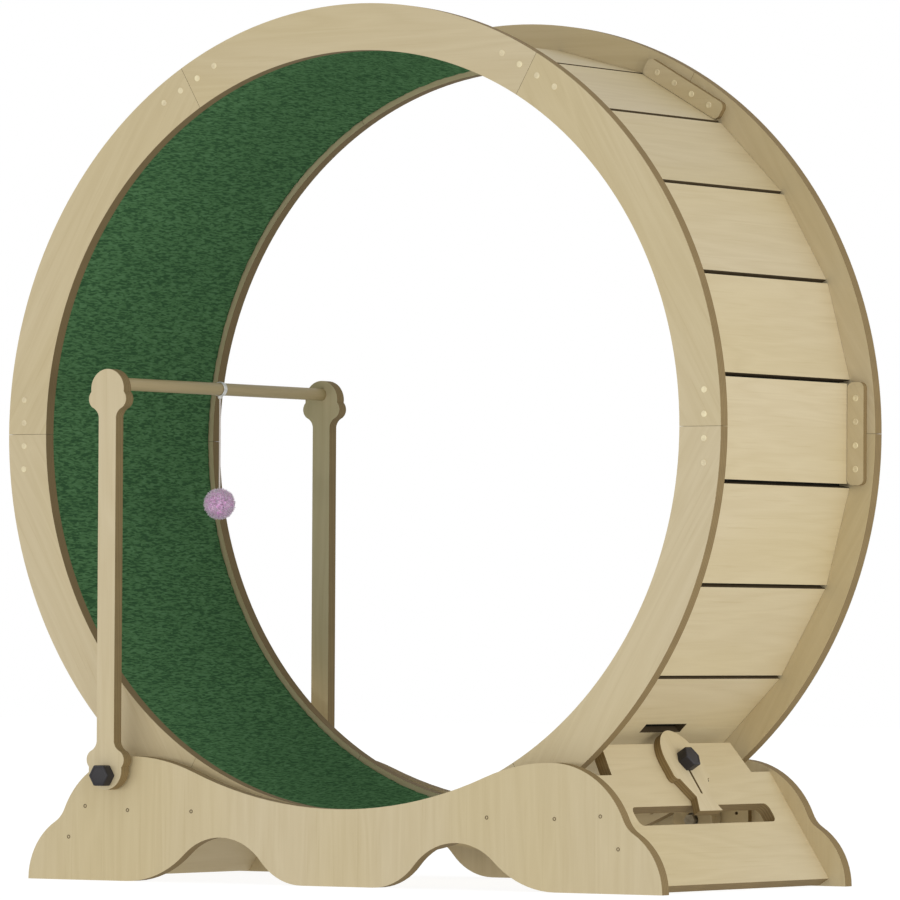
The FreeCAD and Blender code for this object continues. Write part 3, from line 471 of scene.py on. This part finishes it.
def looped_carpet(centre, pile_radius):
    """Loops in rows across the drum, heathered, with painted highlights on the lit loops and painted shade
    between them, on a dark woven back.
    """
    carpet = bpy.context.scene.cat_wheel_carpet
    work = Finish("looped carpet")
    x, y, z = work.split(work.vector("SUBTRACT", work.coordinates.outputs["Object"], centre))
    radius = work.math("SQRT", work.math("ADD", work.math("MULTIPLY", x, x), work.math("MULTIPLY", z, z)))
    round_it = work.math("MULTIPLY", work.math("ARCTAN2", z, x), pile_radius)
    pitch = carpet.loop
    place = work.join(work.math("DIVIDE", round_it, pitch * 0.42), work.math("DIVIDE", y, pitch * 2.3),
                      work.math("DIVIDE", radius, pitch * 3))
    row = work.noise(place, detail=1.5, distortion=0.6)
    yarn = work.noise(place, scale=2.6, detail=3.0)
    patch = work.noise(place, scale=0.03, detail=2.0)
    # Painted highlight: the lit loops take the light tone
    loop = work.mix(work.step(row, 0.50, 0.72), carpet.base, carpet.light)
    loop = work.mix(work.math("MULTIPLY", work.step(yarn, 0.45, 0.7), 0.5), loop, carpet.base)
    patch = work.math("MULTIPLY", work.step(patch, 0.35, 0.7), 0.10)
    # Painted shade between the loops, plus random darker patches
    painted_loop_shade = work.math("ADD", work.step(row, 0.54, 0.38), patch)
    pile = work.mix(painted_loop_shade, loop, carpet.dark)
    behind = work.math("GREATER_THAN", radius, pile_radius + PILE_DEPTH)
    height = work.math("MULTIPLY_ADD", yarn, 0.25, row)
    return work.surface(Base_Color=work.mix(behind, pile, carpet.backing), Roughness=1.0,
                        Specular_IOR_Level=0.0, Normal=work.bump(height, 0.6, 0.003))


def moulded(name, tone, roughness, grain=900.0):
    """Moulded plastic with a fine, slightly uneven skin."""
    work = Finish(name)
    place = work.coordinates.outputs["Object"]
    skin = work.noise(place, scale=grain, detail=3.0)
    flow = work.noise(place, scale=55.0, detail=2.0)
    paler = tuple(min(1.0, value * 1.5 + 0.006) for value in tone)
    rough = work.math("MULTIPLY_ADD", flow, 0.18, roughness - 0.09)
    return work.surface(Base_Color=work.mix(work.step(flow, 0.35, 0.9), tone, paler), Roughness=rough,
                        Specular_IOR_Level=0.4, Normal=work.bump(skin, 0.12, 0.0004))


def plated(name, tone, roughness):
    """Plated steel, a little dull and streaked."""
    work = Finish(name)
    place = work.coordinates.outputs["Object"]
    cloud = work.noise(place, scale=160.0, detail=3.0)
    scratch = work.noise(work.vector("MULTIPLY", place, (1500.0, 90.0, 1500.0)), detail=1.0)
    duller = tuple(value * 0.62 for value in tone)
    return work.surface(Base_Color=work.mix(work.step(cloud, 0.3, 0.8), tone, duller), Metallic=0.85,
                        Roughness=work.math("MULTIPLY_ADD", scratch, 0.25, roughness),
                        Normal=work.bump(scratch, 0.08, 0.0002))


def twisted_yarn(name, tone, centre, twist, strands):
    """Strands that wind round a line along Z, with painted shade in the grooves between them."""
    work = Finish(name)
    x, y, z = work.split(work.vector("SUBTRACT", work.coordinates.outputs["Object"], centre))
    angle = work.math("MULTIPLY", work.math("ARCTAN2", y, x), strands)
    wind = work.math("SINE", work.math("ADD", angle, work.math("MULTIPLY", z, twist)))
    fuzz = work.noise(work.coordinates.outputs["Object"], scale=1800.0, detail=2.0)
    # Painted highlight on the strands' crowns, painted shade in the grooves
    lit = work.step(wind, -0.9, 0.4)
    deep = tuple(value * 0.82 for value in tone)
    return work.surface(Base_Color=work.mix(lit, deep, tone), Roughness=0.9, Sheen_Weight=0.3,
                        Specular_IOR_Level=0.15,
                        Normal=work.bump(work.math("MULTIPLY_ADD", fuzz, 0.4, wind), 0.6, 0.0004))


def fluff(centre, radius):
    """Fine fibres, deep in the middle and pale at their tips."""
    toy = bpy.context.scene.cat_wheel_toy
    work = Finish("fluff")
    from_heart = work.vector("LENGTH", work.vector("SUBTRACT", work.coordinates.outputs["Object"], centre))
    cloud = work.noise(work.coordinates.outputs["Object"], scale=170.0, detail=2.0)
    reach = work.math("ADD", work.math("DIVIDE", from_heart, radius), work.math("MULTIPLY", cloud, 0.25))
    tone = work.mix(work.step(reach, 0.72, 1.12), toy.heart, toy.tips)
    return work.surface(Base_Color=tone, Roughness=0.95, Specular_IOR_Level=0.1, Sheen_Weight=0.6,
                        Subsurface_Weight=0.15, Subsurface_Radius=(0.004, 0.002, 0.003))


def dress(nodes, material):
    """Gives nodes of the frame a finish."""
    for name in nodes:
        for held in frame["nodes"][name].material_slots:
            held.material = material


# ---------------------------------------------------------------- the wood


class CATWHEEL_OT_wood(bpy.types.Operator):
    """Finishes every plywood node and the rod"""
    bl_idname = "cat_wheel.wood"
    bl_label = "Wood"

    def execute(self, context):
        nodes = frame["nodes"]
        hub, segment = axle(), FULL_TURN / SEGMENTS

        def inner_face(node):
            return abs(middle(node).y) - extent(node).y / 2

        ring_face = inner_face("front_ring_segment_1")
        panel_face = inner_face("front_side_panel")
        post_face = inner_face("front_post")
        board_face = joint_line("latch_knob_turn")[0].dot(SLOPE_OUT)
        tilt = segment / 2
        chord = Vector((-math.sin(tilt), 0, math.cos(tilt)))
        outward = Vector((math.cos(tilt), 0, math.sin(tilt)))
        dress([n for n in nodes if "ring_segment" in n],
              plywood("ring plywood", chord, outward, Y, ring_face, hub, segment, tilt, "Y", seed=0.2))
        # The slats' cut edges are darkened towards near black: laser scorch, and painted shade in the
        # narrow gaps between slats
        dress([n for n in nodes if n.startswith(("slats_", "lock_slat"))],
              plywood("slat plywood", Y, Z, X, 0.0, hub, FULL_TURN / SLATS, seed=1.3, scorch_and_shade=0.75))
        dress([n for n in nodes if n.endswith("ring_cleats")],
              plywood("cleat plywood", chord, outward, Y, ring_face, hub, segment, 0.0, "Y", seed=2.1))
        dress(["front_side_panel", "rear_side_panel"],
              plywood("panel plywood", Z, X, Y, panel_face, fold="Y", seed=3.4))
        dress([n for n in nodes if n.endswith("roller_bracket")],
              plywood("bracket plywood", X, Z, Y, panel_face, fold="Y", seed=4.2))
        dress(["front_post", "rear_post"], plywood("post plywood", Z, X, Y, post_face, fold="Y", seed=5.7))
        dress(["plain_end_board", "latch_end_board"],
              plywood("end board plywood", Y, SLOPE_UP, SLOPE_OUT, board_face, fold="X", seed=6.5,
                      hole=SIDE_HOLE))
        dress(["latch_lever"], plywood("lever plywood", SLOPE_UP, Y, SLOPE_OUT, board_face, seed=7.9))
        dress(["toy_bar"], turned_rod())
        return {"FINISHED"}


# ---------------------------------------------------------------- the carpet


class CATWHEEL_OT_carpet(bpy.types.Operator):
    """Lines the drum with a looped carpet"""
    bl_idname = "cat_wheel.carpet"
    bl_label = "Carpet"

    def execute(self, context):
        carpet = context.scene.cat_wheel_carpet
        low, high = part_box("carpet_lining")
        half_width = (high[1] - low[1]) / 2 - CARPET_SIDE_PLAY
        centre = axle()
        outer = min(high[0], high[2] - centre.z) - CARPET_BACK_PLAY
        pile_radius = outer - CARPET_THICKNESS
        middle_radius = pile_radius + CARPET_THICKNESS / 2
        work = self.ring(centre, half_width, pile_radius)
        seed = random.Random(4)
        for vert in work.verts:
            out = vert.co - centre
            out.y = 0
            if out.length < middle_radius:
                rise = carpet.relief * (seed.random() - 0.5)
                edge = max(0.0, abs(vert.co.y) - half_width + CARPET_ROLL) / CARPET_ROLL
                vert.co += out.normalized() * (rise + edge * CARPET_ROLL_DROP)
        piece = make_piece("carpet", work, looped_carpet(centre, pile_radius), "wheel",
                           ["carpet_lining"], sharp=60)
        return {"FINISHED"}

    def ring(self, centre, half_width, pile_radius):
        """The carpet's section, spun round the wheel's axis."""
        rows = int(2 * half_width / CARPET_MESH)
        steps = int(FULL_TURN * pile_radius / CARPET_MESH)
        work = bmesh.new()
        corner = work.verts.new(centre + Vector((pile_radius, -half_width, 0)))
        line = bmesh.ops.extrude_vert_indiv(work, verts=[corner])
        bmesh.ops.translate(work, verts=line["verts"], vec=(0, 2 * half_width, 0))
        bmesh.ops.subdivide_edges(work, edges=line["edges"], cuts=rows)
        wall = bmesh.ops.extrude_edge_only(work, edges=work.edges[:])
        backs = [v for v in wall["geom"] if isinstance(v, bmesh.types.BMVert)]
        bmesh.ops.translate(work, verts=backs, vec=(CARPET_THICKNESS, 0, 0))
        rim = [e for e in work.edges if e.is_boundary]
        bmesh.ops.delete(work, geom=work.faces[:], context="FACES_ONLY")
        bmesh.ops.delete(work, geom=[e for e in work.edges if e not in rim], context="EDGES")
        bmesh.ops.spin(work, geom=work.verts[:] + work.edges[:], cent=centre, axis=(0, 1, 0),
                       angle=FULL_TURN, steps=steps, use_merge=True, use_duplicate=False)
        return work


# ---------------------------------------------------------------- knobs, bolts and screws


def knob_size(node):
    """Radius and height of one of the posts' knobs."""
    size = extent(node)
    return max(size.x, size.z) / 2, size.y


def hexagon_knob(place, across, along, radius, height):
    """Six-sided knob with soft corners and a shallow sunk cap."""
    work = bmesh.new()
    bmesh.ops.create_cone(work, cap_ends=True, segments=6, radius1=radius, radius2=radius, depth=height)
    bmesh.ops.rotate(work, verts=work.verts, cent=(0, 0, 0), matrix=Matrix.Rotation(math.pi / 2, 3, "Z"))
    bmesh.ops.translate(work, verts=work.verts, vec=(0, 0, height / 2))
    outer = [e for e in work.edges if any(v.co.z > height / 2 for v in e.verts)]
    top = top_face(work.faces, Z)
    for inset, rise in ((KNOB_RIM, 0), (KNOB_STEP, -KNOB_STEP), (CAP_SLOPE, CAP_RISE)):
        bmesh.ops.inset_region(work, faces=[top], thickness=inset, depth=rise)
    bevel(work, outer, KNOB_BEVEL, 3)
    bmesh.ops.transform(work, matrix=frame_matrix(place, across, along), verts=work.verts)
    return work


def round_head(work, place, across, along, radius, rise, socket, depth):
    """Adds a low round head with a sunk socket to a bmesh. Its seat is at place."""
    top_radius = radius * HEAD_TAPER
    made = bmesh.ops.create_cone(work, cap_ends=True, segments=14, radius1=radius, radius2=top_radius,
                                 depth=rise)
    verts = made["verts"]
    faces = {f for v in verts for f in v.link_faces}
    top = top_face(faces, Z)
    ring = bmesh.ops.inset_region(work, faces=[top], thickness=top_radius - socket, depth=0)
    dent = bmesh.ops.inset_region(work, faces=[top], thickness=socket * SOCKET_SLOPE, depth=-depth)
    every = set(verts) | {v for f in ring["faces"] + dent["faces"] + [top] for v in f.verts}
    lift = Matrix.Translation((0, 0, rise / 2))
    bmesh.ops.transform(work, matrix=frame_matrix(place, across, along) @ lift, verts=list(every))


def seam_bolts(side, name, material):
    """Caps of the bolts through one ring's seams, outside on the ring and inside on the joining plates."""
    hardware = bpy.context.scene.cat_wheel_hardware
    node = f"{name}_ring_bolts"
    low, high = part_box(node)
    outer, inner = (low[1], high[1]) if side < 0 else (high[1], low[1])
    work = bmesh.new()
    for seam in range(SEGMENTS):
        turn = FULL_TURN * seam / SEGMENTS
        out = Vector((math.cos(turn), 0, math.sin(turn)))
        along = Vector((-out.z, 0, out.x))
        for step in (-1.5, -0.5, 0.5, 1.5):
            place = axle() + out * hardware.seam_bolt_circle + along * step * hardware.seam_bolt_spacing
            for y, facing in ((outer, side), (inner, -side)):
                place.y = y - facing * SEAM_CAP_SEAT
                round_head(work, place, out, Vector((0, facing, 0)), hardware.cap_radius, **SEAM_CAP)
    return make_piece(f"{name}_seam_caps", work, material, "wheel", [node])


def wood_screws(side, name, kind, places, material):
    """Heads of the screws through one side panel."""
    hardware = bpy.context.scene.cat_wheel_hardware
    node = f"{name}_{kind}_screws"
    low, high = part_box(node)
    outer = low[1] if side < 0 else high[1]
    facing = Vector((0, side, 0))
    tip, neck = SHANK_RADII
    work = bmesh.new()
    for x, z in places:
        place = Vector((x, outer - side * SCREW_HEAD_SEAT, z))
        round_head(work, place, X, facing, hardware.head_radius, **SCREW_HEAD)
        made = bmesh.ops.create_cone(work, cap_ends=True, segments=8, radius1=tip, radius2=neck,
                                     depth=SHANK_LENGTH)
        matrix = frame_matrix(place - facing * SHANK_MIDDLE, X, facing)
        bmesh.ops.transform(work, matrix=matrix, verts=made["verts"])
    return make_piece(f"{name}_{kind}_screw_heads", work, material, "stand", [node])


def screw_places():
    """Screws of the end boards and of the brackets, as X and Z.

    The boards' screws follow the slope of the latch's slide.
    """
    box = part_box("front_end_board_screws")
    low_z, high_z = box[0][2] + SCREW_RADIUS, box[1][2] - SCREW_RADIUS
    far = box[1][0] - SCREW_RADIUS
    near = far - (high_z - low_z) * abs(SLOPE_UP.x / SLOPE_UP.z)
    boards = [(sign * x, z) for sign in (-1, 1) for x, z in ((far, low_z), (near, high_z))]
    brackets = []
    for end in ("left", "right"):
        node = f"front_{end}_roller_bracket"
        centre, half = middle(node), extent(node).x / 2
        brackets += [(centre.x + sign * (half - BRACKET_SCREW_INSET), centre.z) for sign in (-1, 1)]
    return boards, brackets


class CATWHEEL_OT_hardware(bpy.types.Operator):
    """Makes the knobs, caps and screw heads, and finishes the rollers and bolts"""
    bl_idname = "cat_wheel.hardware"
    bl_label = "Hardware"

    def execute(self, context):
        hardware = context.scene.cat_wheel_hardware
        black = moulded("black plastic", tuple(hardware.knob), 0.48)
        steel = plated("plated steel", tuple(hardware.steel), 0.30)
        bronze = plated("browned steel", tuple(hardware.screw), 0.45)
        caps = moulded("cream caps", tuple(hardware.cap), 0.42)
        for name, side in SIDES:
            node = f"{name}_post_knob"
            radius, height = knob_size(node)
            place = middle(node) - Y * side * height / 2
            work = hexagon_knob(place, X, Y * side, radius, height)
            make_piece(f"{name}_hex_knob", work, black, f"{name}_clamp", [node])
        centre, out = joint_line("latch_knob_turn")
        radius, height = knob_size("front_post_knob")
        seat = centre + out * (middle("latch_knob") - centre).dot(out) - out * height / 2
        work = hexagon_knob(seat, Y, out, radius, height)
        make_piece("latch_hex_knob", work, black, "latch_clamp", ["latch_knob"])
        boards, brackets = screw_places()
        for name, side in SIDES:
            seam_bolts(side, name, caps)
            wood_screws(side, name, "end_board", boards, bronze)
            wood_screws(side, name, "bracket", brackets, bronze)
        nodes = frame["nodes"]
        rollers = [n for n in nodes if n.endswith("_roller")]
        dress(rollers, moulded("nylon", tuple(hardware.roller), 0.40, 500.0))
        bearings = [n for n in nodes if n.endswith("_bearing")]
        dress(bearings + ["roller_axle_bolts", "roller_axle_nuts", "pivot_bolts", "latch_bolt"], steel)
        dress(["pivot_washers"], black)
        return {"FINISHED"}


# ---------------------------------------------------------------- the toy


class CATWHEEL_OT_toy(bpy.types.Operator):
    """Hangs the fluffy ball on its string from a band round the bar"""
    bl_idname = "cat_wheel.toy"
    bl_label = "Toy"

    def execute(self, context):
        toy = context.scene.cat_wheel_toy
        self.band(toy)
        ball = self.ball(toy)
        self.string(toy, ball)
        return {"FINISHED"}

    def band(self, toy):
        """A soft band round the bar, tied under it."""
        centre, size = middle("toy_loop"), extent("toy_loop")
        outer, width = size.x / 2, size.y
        bore = extent("toy_bar").z / 2 + BAND_PLAY
        work = bmesh.new()
        bmesh.ops.create_circle(work, cap_ends=False, segments=16, radius=0.5)
        bmesh.ops.scale(work, vec=(outer - bore, width, 1), verts=work.verts)
        bmesh.ops.translate(work, verts=work.verts, vec=centre + Vector(((outer + bore) / 2, 0, 0)))
        bmesh.ops.spin(work, geom=work.verts[:] + work.edges[:], cent=centre, axis=(0, 1, 0),
                       angle=FULL_TURN, steps=40, use_merge=True, use_duplicate=False)
        knot = bmesh.ops.create_uvsphere(work, u_segments=14, v_segments=10, radius=KNOT_RADIUS)
        bmesh.ops.scale(work, vec=KNOT_SHAPE, verts=knot["verts"])
        bmesh.ops.translate(work, verts=knot["verts"], vec=centre - Vector((0, 0, outer + KNOT_DROP)))
        yarn = twisted_yarn("band", tuple(toy.band), centre, 900.0, 3.0)
        make_piece("tied_band", work, yarn, "toy", ["toy_loop"], sharp=60)

    def ball(self, toy):
        """Thousands of fine tufts round a soft heart, spread on a spiral from pole to pole."""
        centre, radius = middle("fluffy_ball"), extent("fluffy_ball").z / 2
        root, end = TUFT_RADII
        golden_turn = math.pi * (3 - math.sqrt(5))
        seed = random.Random(11)
        work = bmesh.new()
        bmesh.ops.create_icosphere(work, subdivisions=4, radius=radius * HEART_SHARE)
        for vert in work.verts:
            vert.co *= 1 + HEART_WAVE * noise.noise(vert.co * HEART_WAVES)
        bmesh.ops.translate(work, verts=work.verts, vec=centre)
        for number in range(toy.tufts):
            height = 1 - 2 * (number + 0.5) / toy.tufts
            turn = number * golden_turn
            flat = math.sqrt(1 - height * height)
            out = Vector((flat * math.cos(turn), flat * math.sin(turn), height))
            stray = Vector((seed.gauss(0, 1), seed.gauss(0, 1), seed.gauss(0, 1)))
            out = (out + TUFT_SCATTER * stray).normalized()
            tall = radius * seed.uniform(*TUFT_LENGTHS)
            tip = radius * seed.uniform(*TUFT_TIPS)
            matrix = frame_matrix(centre + out * (tip - tall / 2), out.orthogonal(), out)
            bmesh.ops.create_cone(work, cap_ends=False, segments=3, radius1=root, radius2=end, depth=tall,
                                  matrix=matrix)
        return make_piece("pompom", work, fluff(centre, radius), "toy", ["fluffy_ball"], sharp=180)

    def string(self, toy, ball):
        """The string's route runs straight down from the band into the ball."""
        low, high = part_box("toy_string")
        x, y = middle("toy_string").x, middle("toy_string").y
        diameter = high[0] - low[0]
        top, bottom = high[2], low[2] - STRING_IN_BALL
        levels = [top, top - 0.014, top - 0.040, top - 0.070, bottom + 0.014, bottom]
        data = bpy.data.curves.new("string", "CURVE")
        data.dimensions = "3D"
        spline = data.splines.new("NURBS")
        spline.points.add(len(levels) - 1)
        for point, z in zip(spline.points, levels):
            point.co = (x, y, z, 1)
        spline.order_u = 3
        spline.use_endpoint_u = True
        spline.resolution_u = 12
        data.bevel_depth = diameter / 2
        data.bevel_resolution = 4
        data.use_fill_caps = True
        data.materials.append(twisted_yarn("string", tuple(toy.string), (x, y, 0.0), 2600.0, 2.0))
        string = link(bpy.data.objects.new("string", data))
        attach(string, "toy")
        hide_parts("toy_string")


# ---------------------------------------------------------------- the stage


class CATWHEEL_OT_stage(bpy.types.Operator):
    """Sets the floor, the lamps, the world and the camera"""
    bl_idname = "cat_wheel.stage"
    bl_label = "Stage"

    def execute(self, context):
        stage = context.scene.cat_wheel_stage
        self.floor(stage)
        self.world(context, stage)
        for name, place, target, size in LAMPS:
            self.lamp(name, Vector(place), Vector(target), size, getattr(stage, name))
        self.camera(context, stage)
        context.scene.view_settings.view_transform = "Standard"
        return {"FINISHED"}

    def floor(self, stage):
        """A glowing table: white to the camera but for the object's soft shadow, softly lit to all else."""
        work = bmesh.new()
        bmesh.ops.create_grid(work, x_segments=1, y_segments=1, size=FLOOR_SIZE)
        mesh = bpy.data.meshes.new("floor")
        work.to_mesh(mesh)
        work.free()
        floor = link(bpy.data.objects.new("floor", mesh))
        floor.location = (0, 0, -FLOOR_DROP)
        paper = bpy.data.materials.new("pale floor")
        paper.use_nodes = True
        tree = paper.node_tree
        tree.nodes.clear()
        seen = tree.nodes.new("ShaderNodeLightPath")
        mix = tree.nodes.new("ShaderNodeMixShader")
        out = tree.nodes.new("ShaderNodeOutputMaterial")
        by_light, by_camera = (FLOOR_TONE, stage.glow), (FLOOR_TONE_SEEN, FLOOR_GLOW_SEEN)
        for socket, (tone, glow) in enumerate((by_light, by_camera), start=1):
            matt = tree.nodes.new("ShaderNodeBsdfDiffuse")
            matt.inputs["Color"].default_value = (tone, tone, tone, 1)
            light = tree.nodes.new("ShaderNodeEmission")
            light.inputs["Strength"].default_value = glow
            both = tree.nodes.new("ShaderNodeAddShader")
            tree.links.new(matt.outputs[0], both.inputs[0])
            tree.links.new(light.outputs[0], both.inputs[1])
            tree.links.new(both.outputs[0], mix.inputs[socket])
        tree.links.new(seen.outputs["Is Camera Ray"], mix.inputs[0])
        tree.links.new(mix.outputs[0], out.inputs["Surface"])
        mesh.materials.append(paper)

    def world(self, context, stage):
        """Even light from all round. The camera, gloss and glass see plain white."""
        world = bpy.data.worlds.new("studio")
        context.scene.world = world
        world.use_nodes = True
        tree = world.node_tree
        tree.nodes.clear()
        seen = tree.nodes.new("ShaderNodeLightPath")
        white = seen.outputs["Is Camera Ray"]
        for ray in ("Is Glossy Ray", "Is Transmission Ray"):
            either = tree.nodes.new("ShaderNodeMath")
            either.operation = "MAXIMUM"
            tree.links.new(white, either.inputs[0])
            tree.links.new(seen.outputs[ray], either.inputs[1])
            white = either.outputs[0]
        strength = tree.nodes.new("ShaderNodeMapRange")
        strength.inputs["To Min"].default_value = stage.ambient
        strength.inputs["To Max"].default_value = 1.0
        sky = tree.nodes.new("ShaderNodeBackground")
        sky.inputs["Color"].default_value = (1, 1, 1, 1)
        out = tree.nodes.new("ShaderNodeOutputWorld")
        tree.links.new(white, strength.inputs["Value"])
        tree.links.new(strength.outputs[0], sky.inputs["Strength"])
        tree.links.new(sky.outputs[0], out.inputs["Surface"])

    def lamp(self, name, place, target, size, power):
        data = bpy.data.lights.new(name, "AREA")
        data.shape = "RECTANGLE"
        data.size, data.size_y = size
        data.energy = power
        lamp = link(bpy.data.objects.new(name, data))
        lamp.location = place
        lamp.rotation_euler = (target - place).to_track_quat("-Z", "Y").to_euler()

    def camera(self, context, stage):
        """Looks at the wheel's middle from the front and the latch's end, a little from below it."""
        turn, lift = stage.azimuth, stage.elevation
        back = Vector((math.sin(turn) * math.cos(lift), -math.cos(turn) * math.cos(lift), math.sin(lift)))
        right = Vector((math.cos(turn), math.sin(turn), 0))
        up = back.cross(right)
        rolled = right * math.cos(stage.roll) + up * math.sin(stage.roll)
        upright = up * math.cos(stage.roll) - right * math.sin(stage.roll)
        data = bpy.data.cameras.new("camera")
        data.lens = stage.lens
        data.sensor_width = 36
        data.shift_x, data.shift_y = stage.shift
        camera = link(bpy.data.objects.new("camera", data))
        matrix = Matrix((rolled, upright, back)).transposed().to_4x4()
        camera.matrix_world = Matrix.Translation(axle() + back * stage.distance) @ matrix
        context.scene.camera = camera


# ---------------------------------------------------------------- the add-on


class CATWHEEL_PT_sidebar(bpy.types.Panel):
    """Lists the pieces and the stage"""
    bl_idname = "CATWHEEL_PT_sidebar"
    bl_label = "Cat wheel"
    bl_space_type = "VIEW_3D"
    bl_region_type = "UI"
    bl_category = "Cat wheel"

    def draw(self, context):
        for operator, group in BUTTONS:
            box = self.layout.box()
            box.operator(operator.bl_idname)
            settings = getattr(context.scene, group)
            for name in settings.bl_rna.properties.keys():
                if name not in ("rna_type", "name"):
                    box.prop(settings, name)


GROUPS = {
    "cat_wheel_wood": WoodSettings,
    "cat_wheel_carpet": CarpetSettings,
    "cat_wheel_hardware": HardwareSettings,
    "cat_wheel_toy": ToySettings,
    "cat_wheel_stage": StageSettings,
}
BUTTONS = (
    (CATWHEEL_OT_stage, "cat_wheel_stage"),
    (CATWHEEL_OT_toy, "cat_wheel_toy"),
    (CATWHEEL_OT_wood, "cat_wheel_wood"),
    (CATWHEEL_OT_carpet, "cat_wheel_carpet"),
    (CATWHEEL_OT_hardware, "cat_wheel_hardware"),
)


def register():
    for group in GROUPS.values():
        bpy.utils.register_class(group)
    for name, group in GROUPS.items():
        setattr(bpy.types.Scene, name, PointerProperty(type=group))
    for operator, _ in BUTTONS:
        bpy.utils.register_class(operator)
    bpy.utils.register_class(CATWHEEL_PT_sidebar)


def unregister():
    bpy.utils.unregister_class(CATWHEEL_PT_sidebar)
    for operator, _ in reversed(BUTTONS):
        bpy.utils.unregister_class(operator)
    for name, group in reversed(GROUPS.items()):
        delattr(bpy.types.Scene, name)
        bpy.utils.unregister_class(group)


def main():
    """Makes everything in order."""
    register()
    bpy.ops.cat_wheel.stage()
    bpy.ops.cat_wheel.toy()
    bpy.ops.cat_wheel.wood()
    bpy.ops.cat_wheel.carpet()
    bpy.ops.cat_wheel.hardware()


if __name__ == "__main__":
    main()
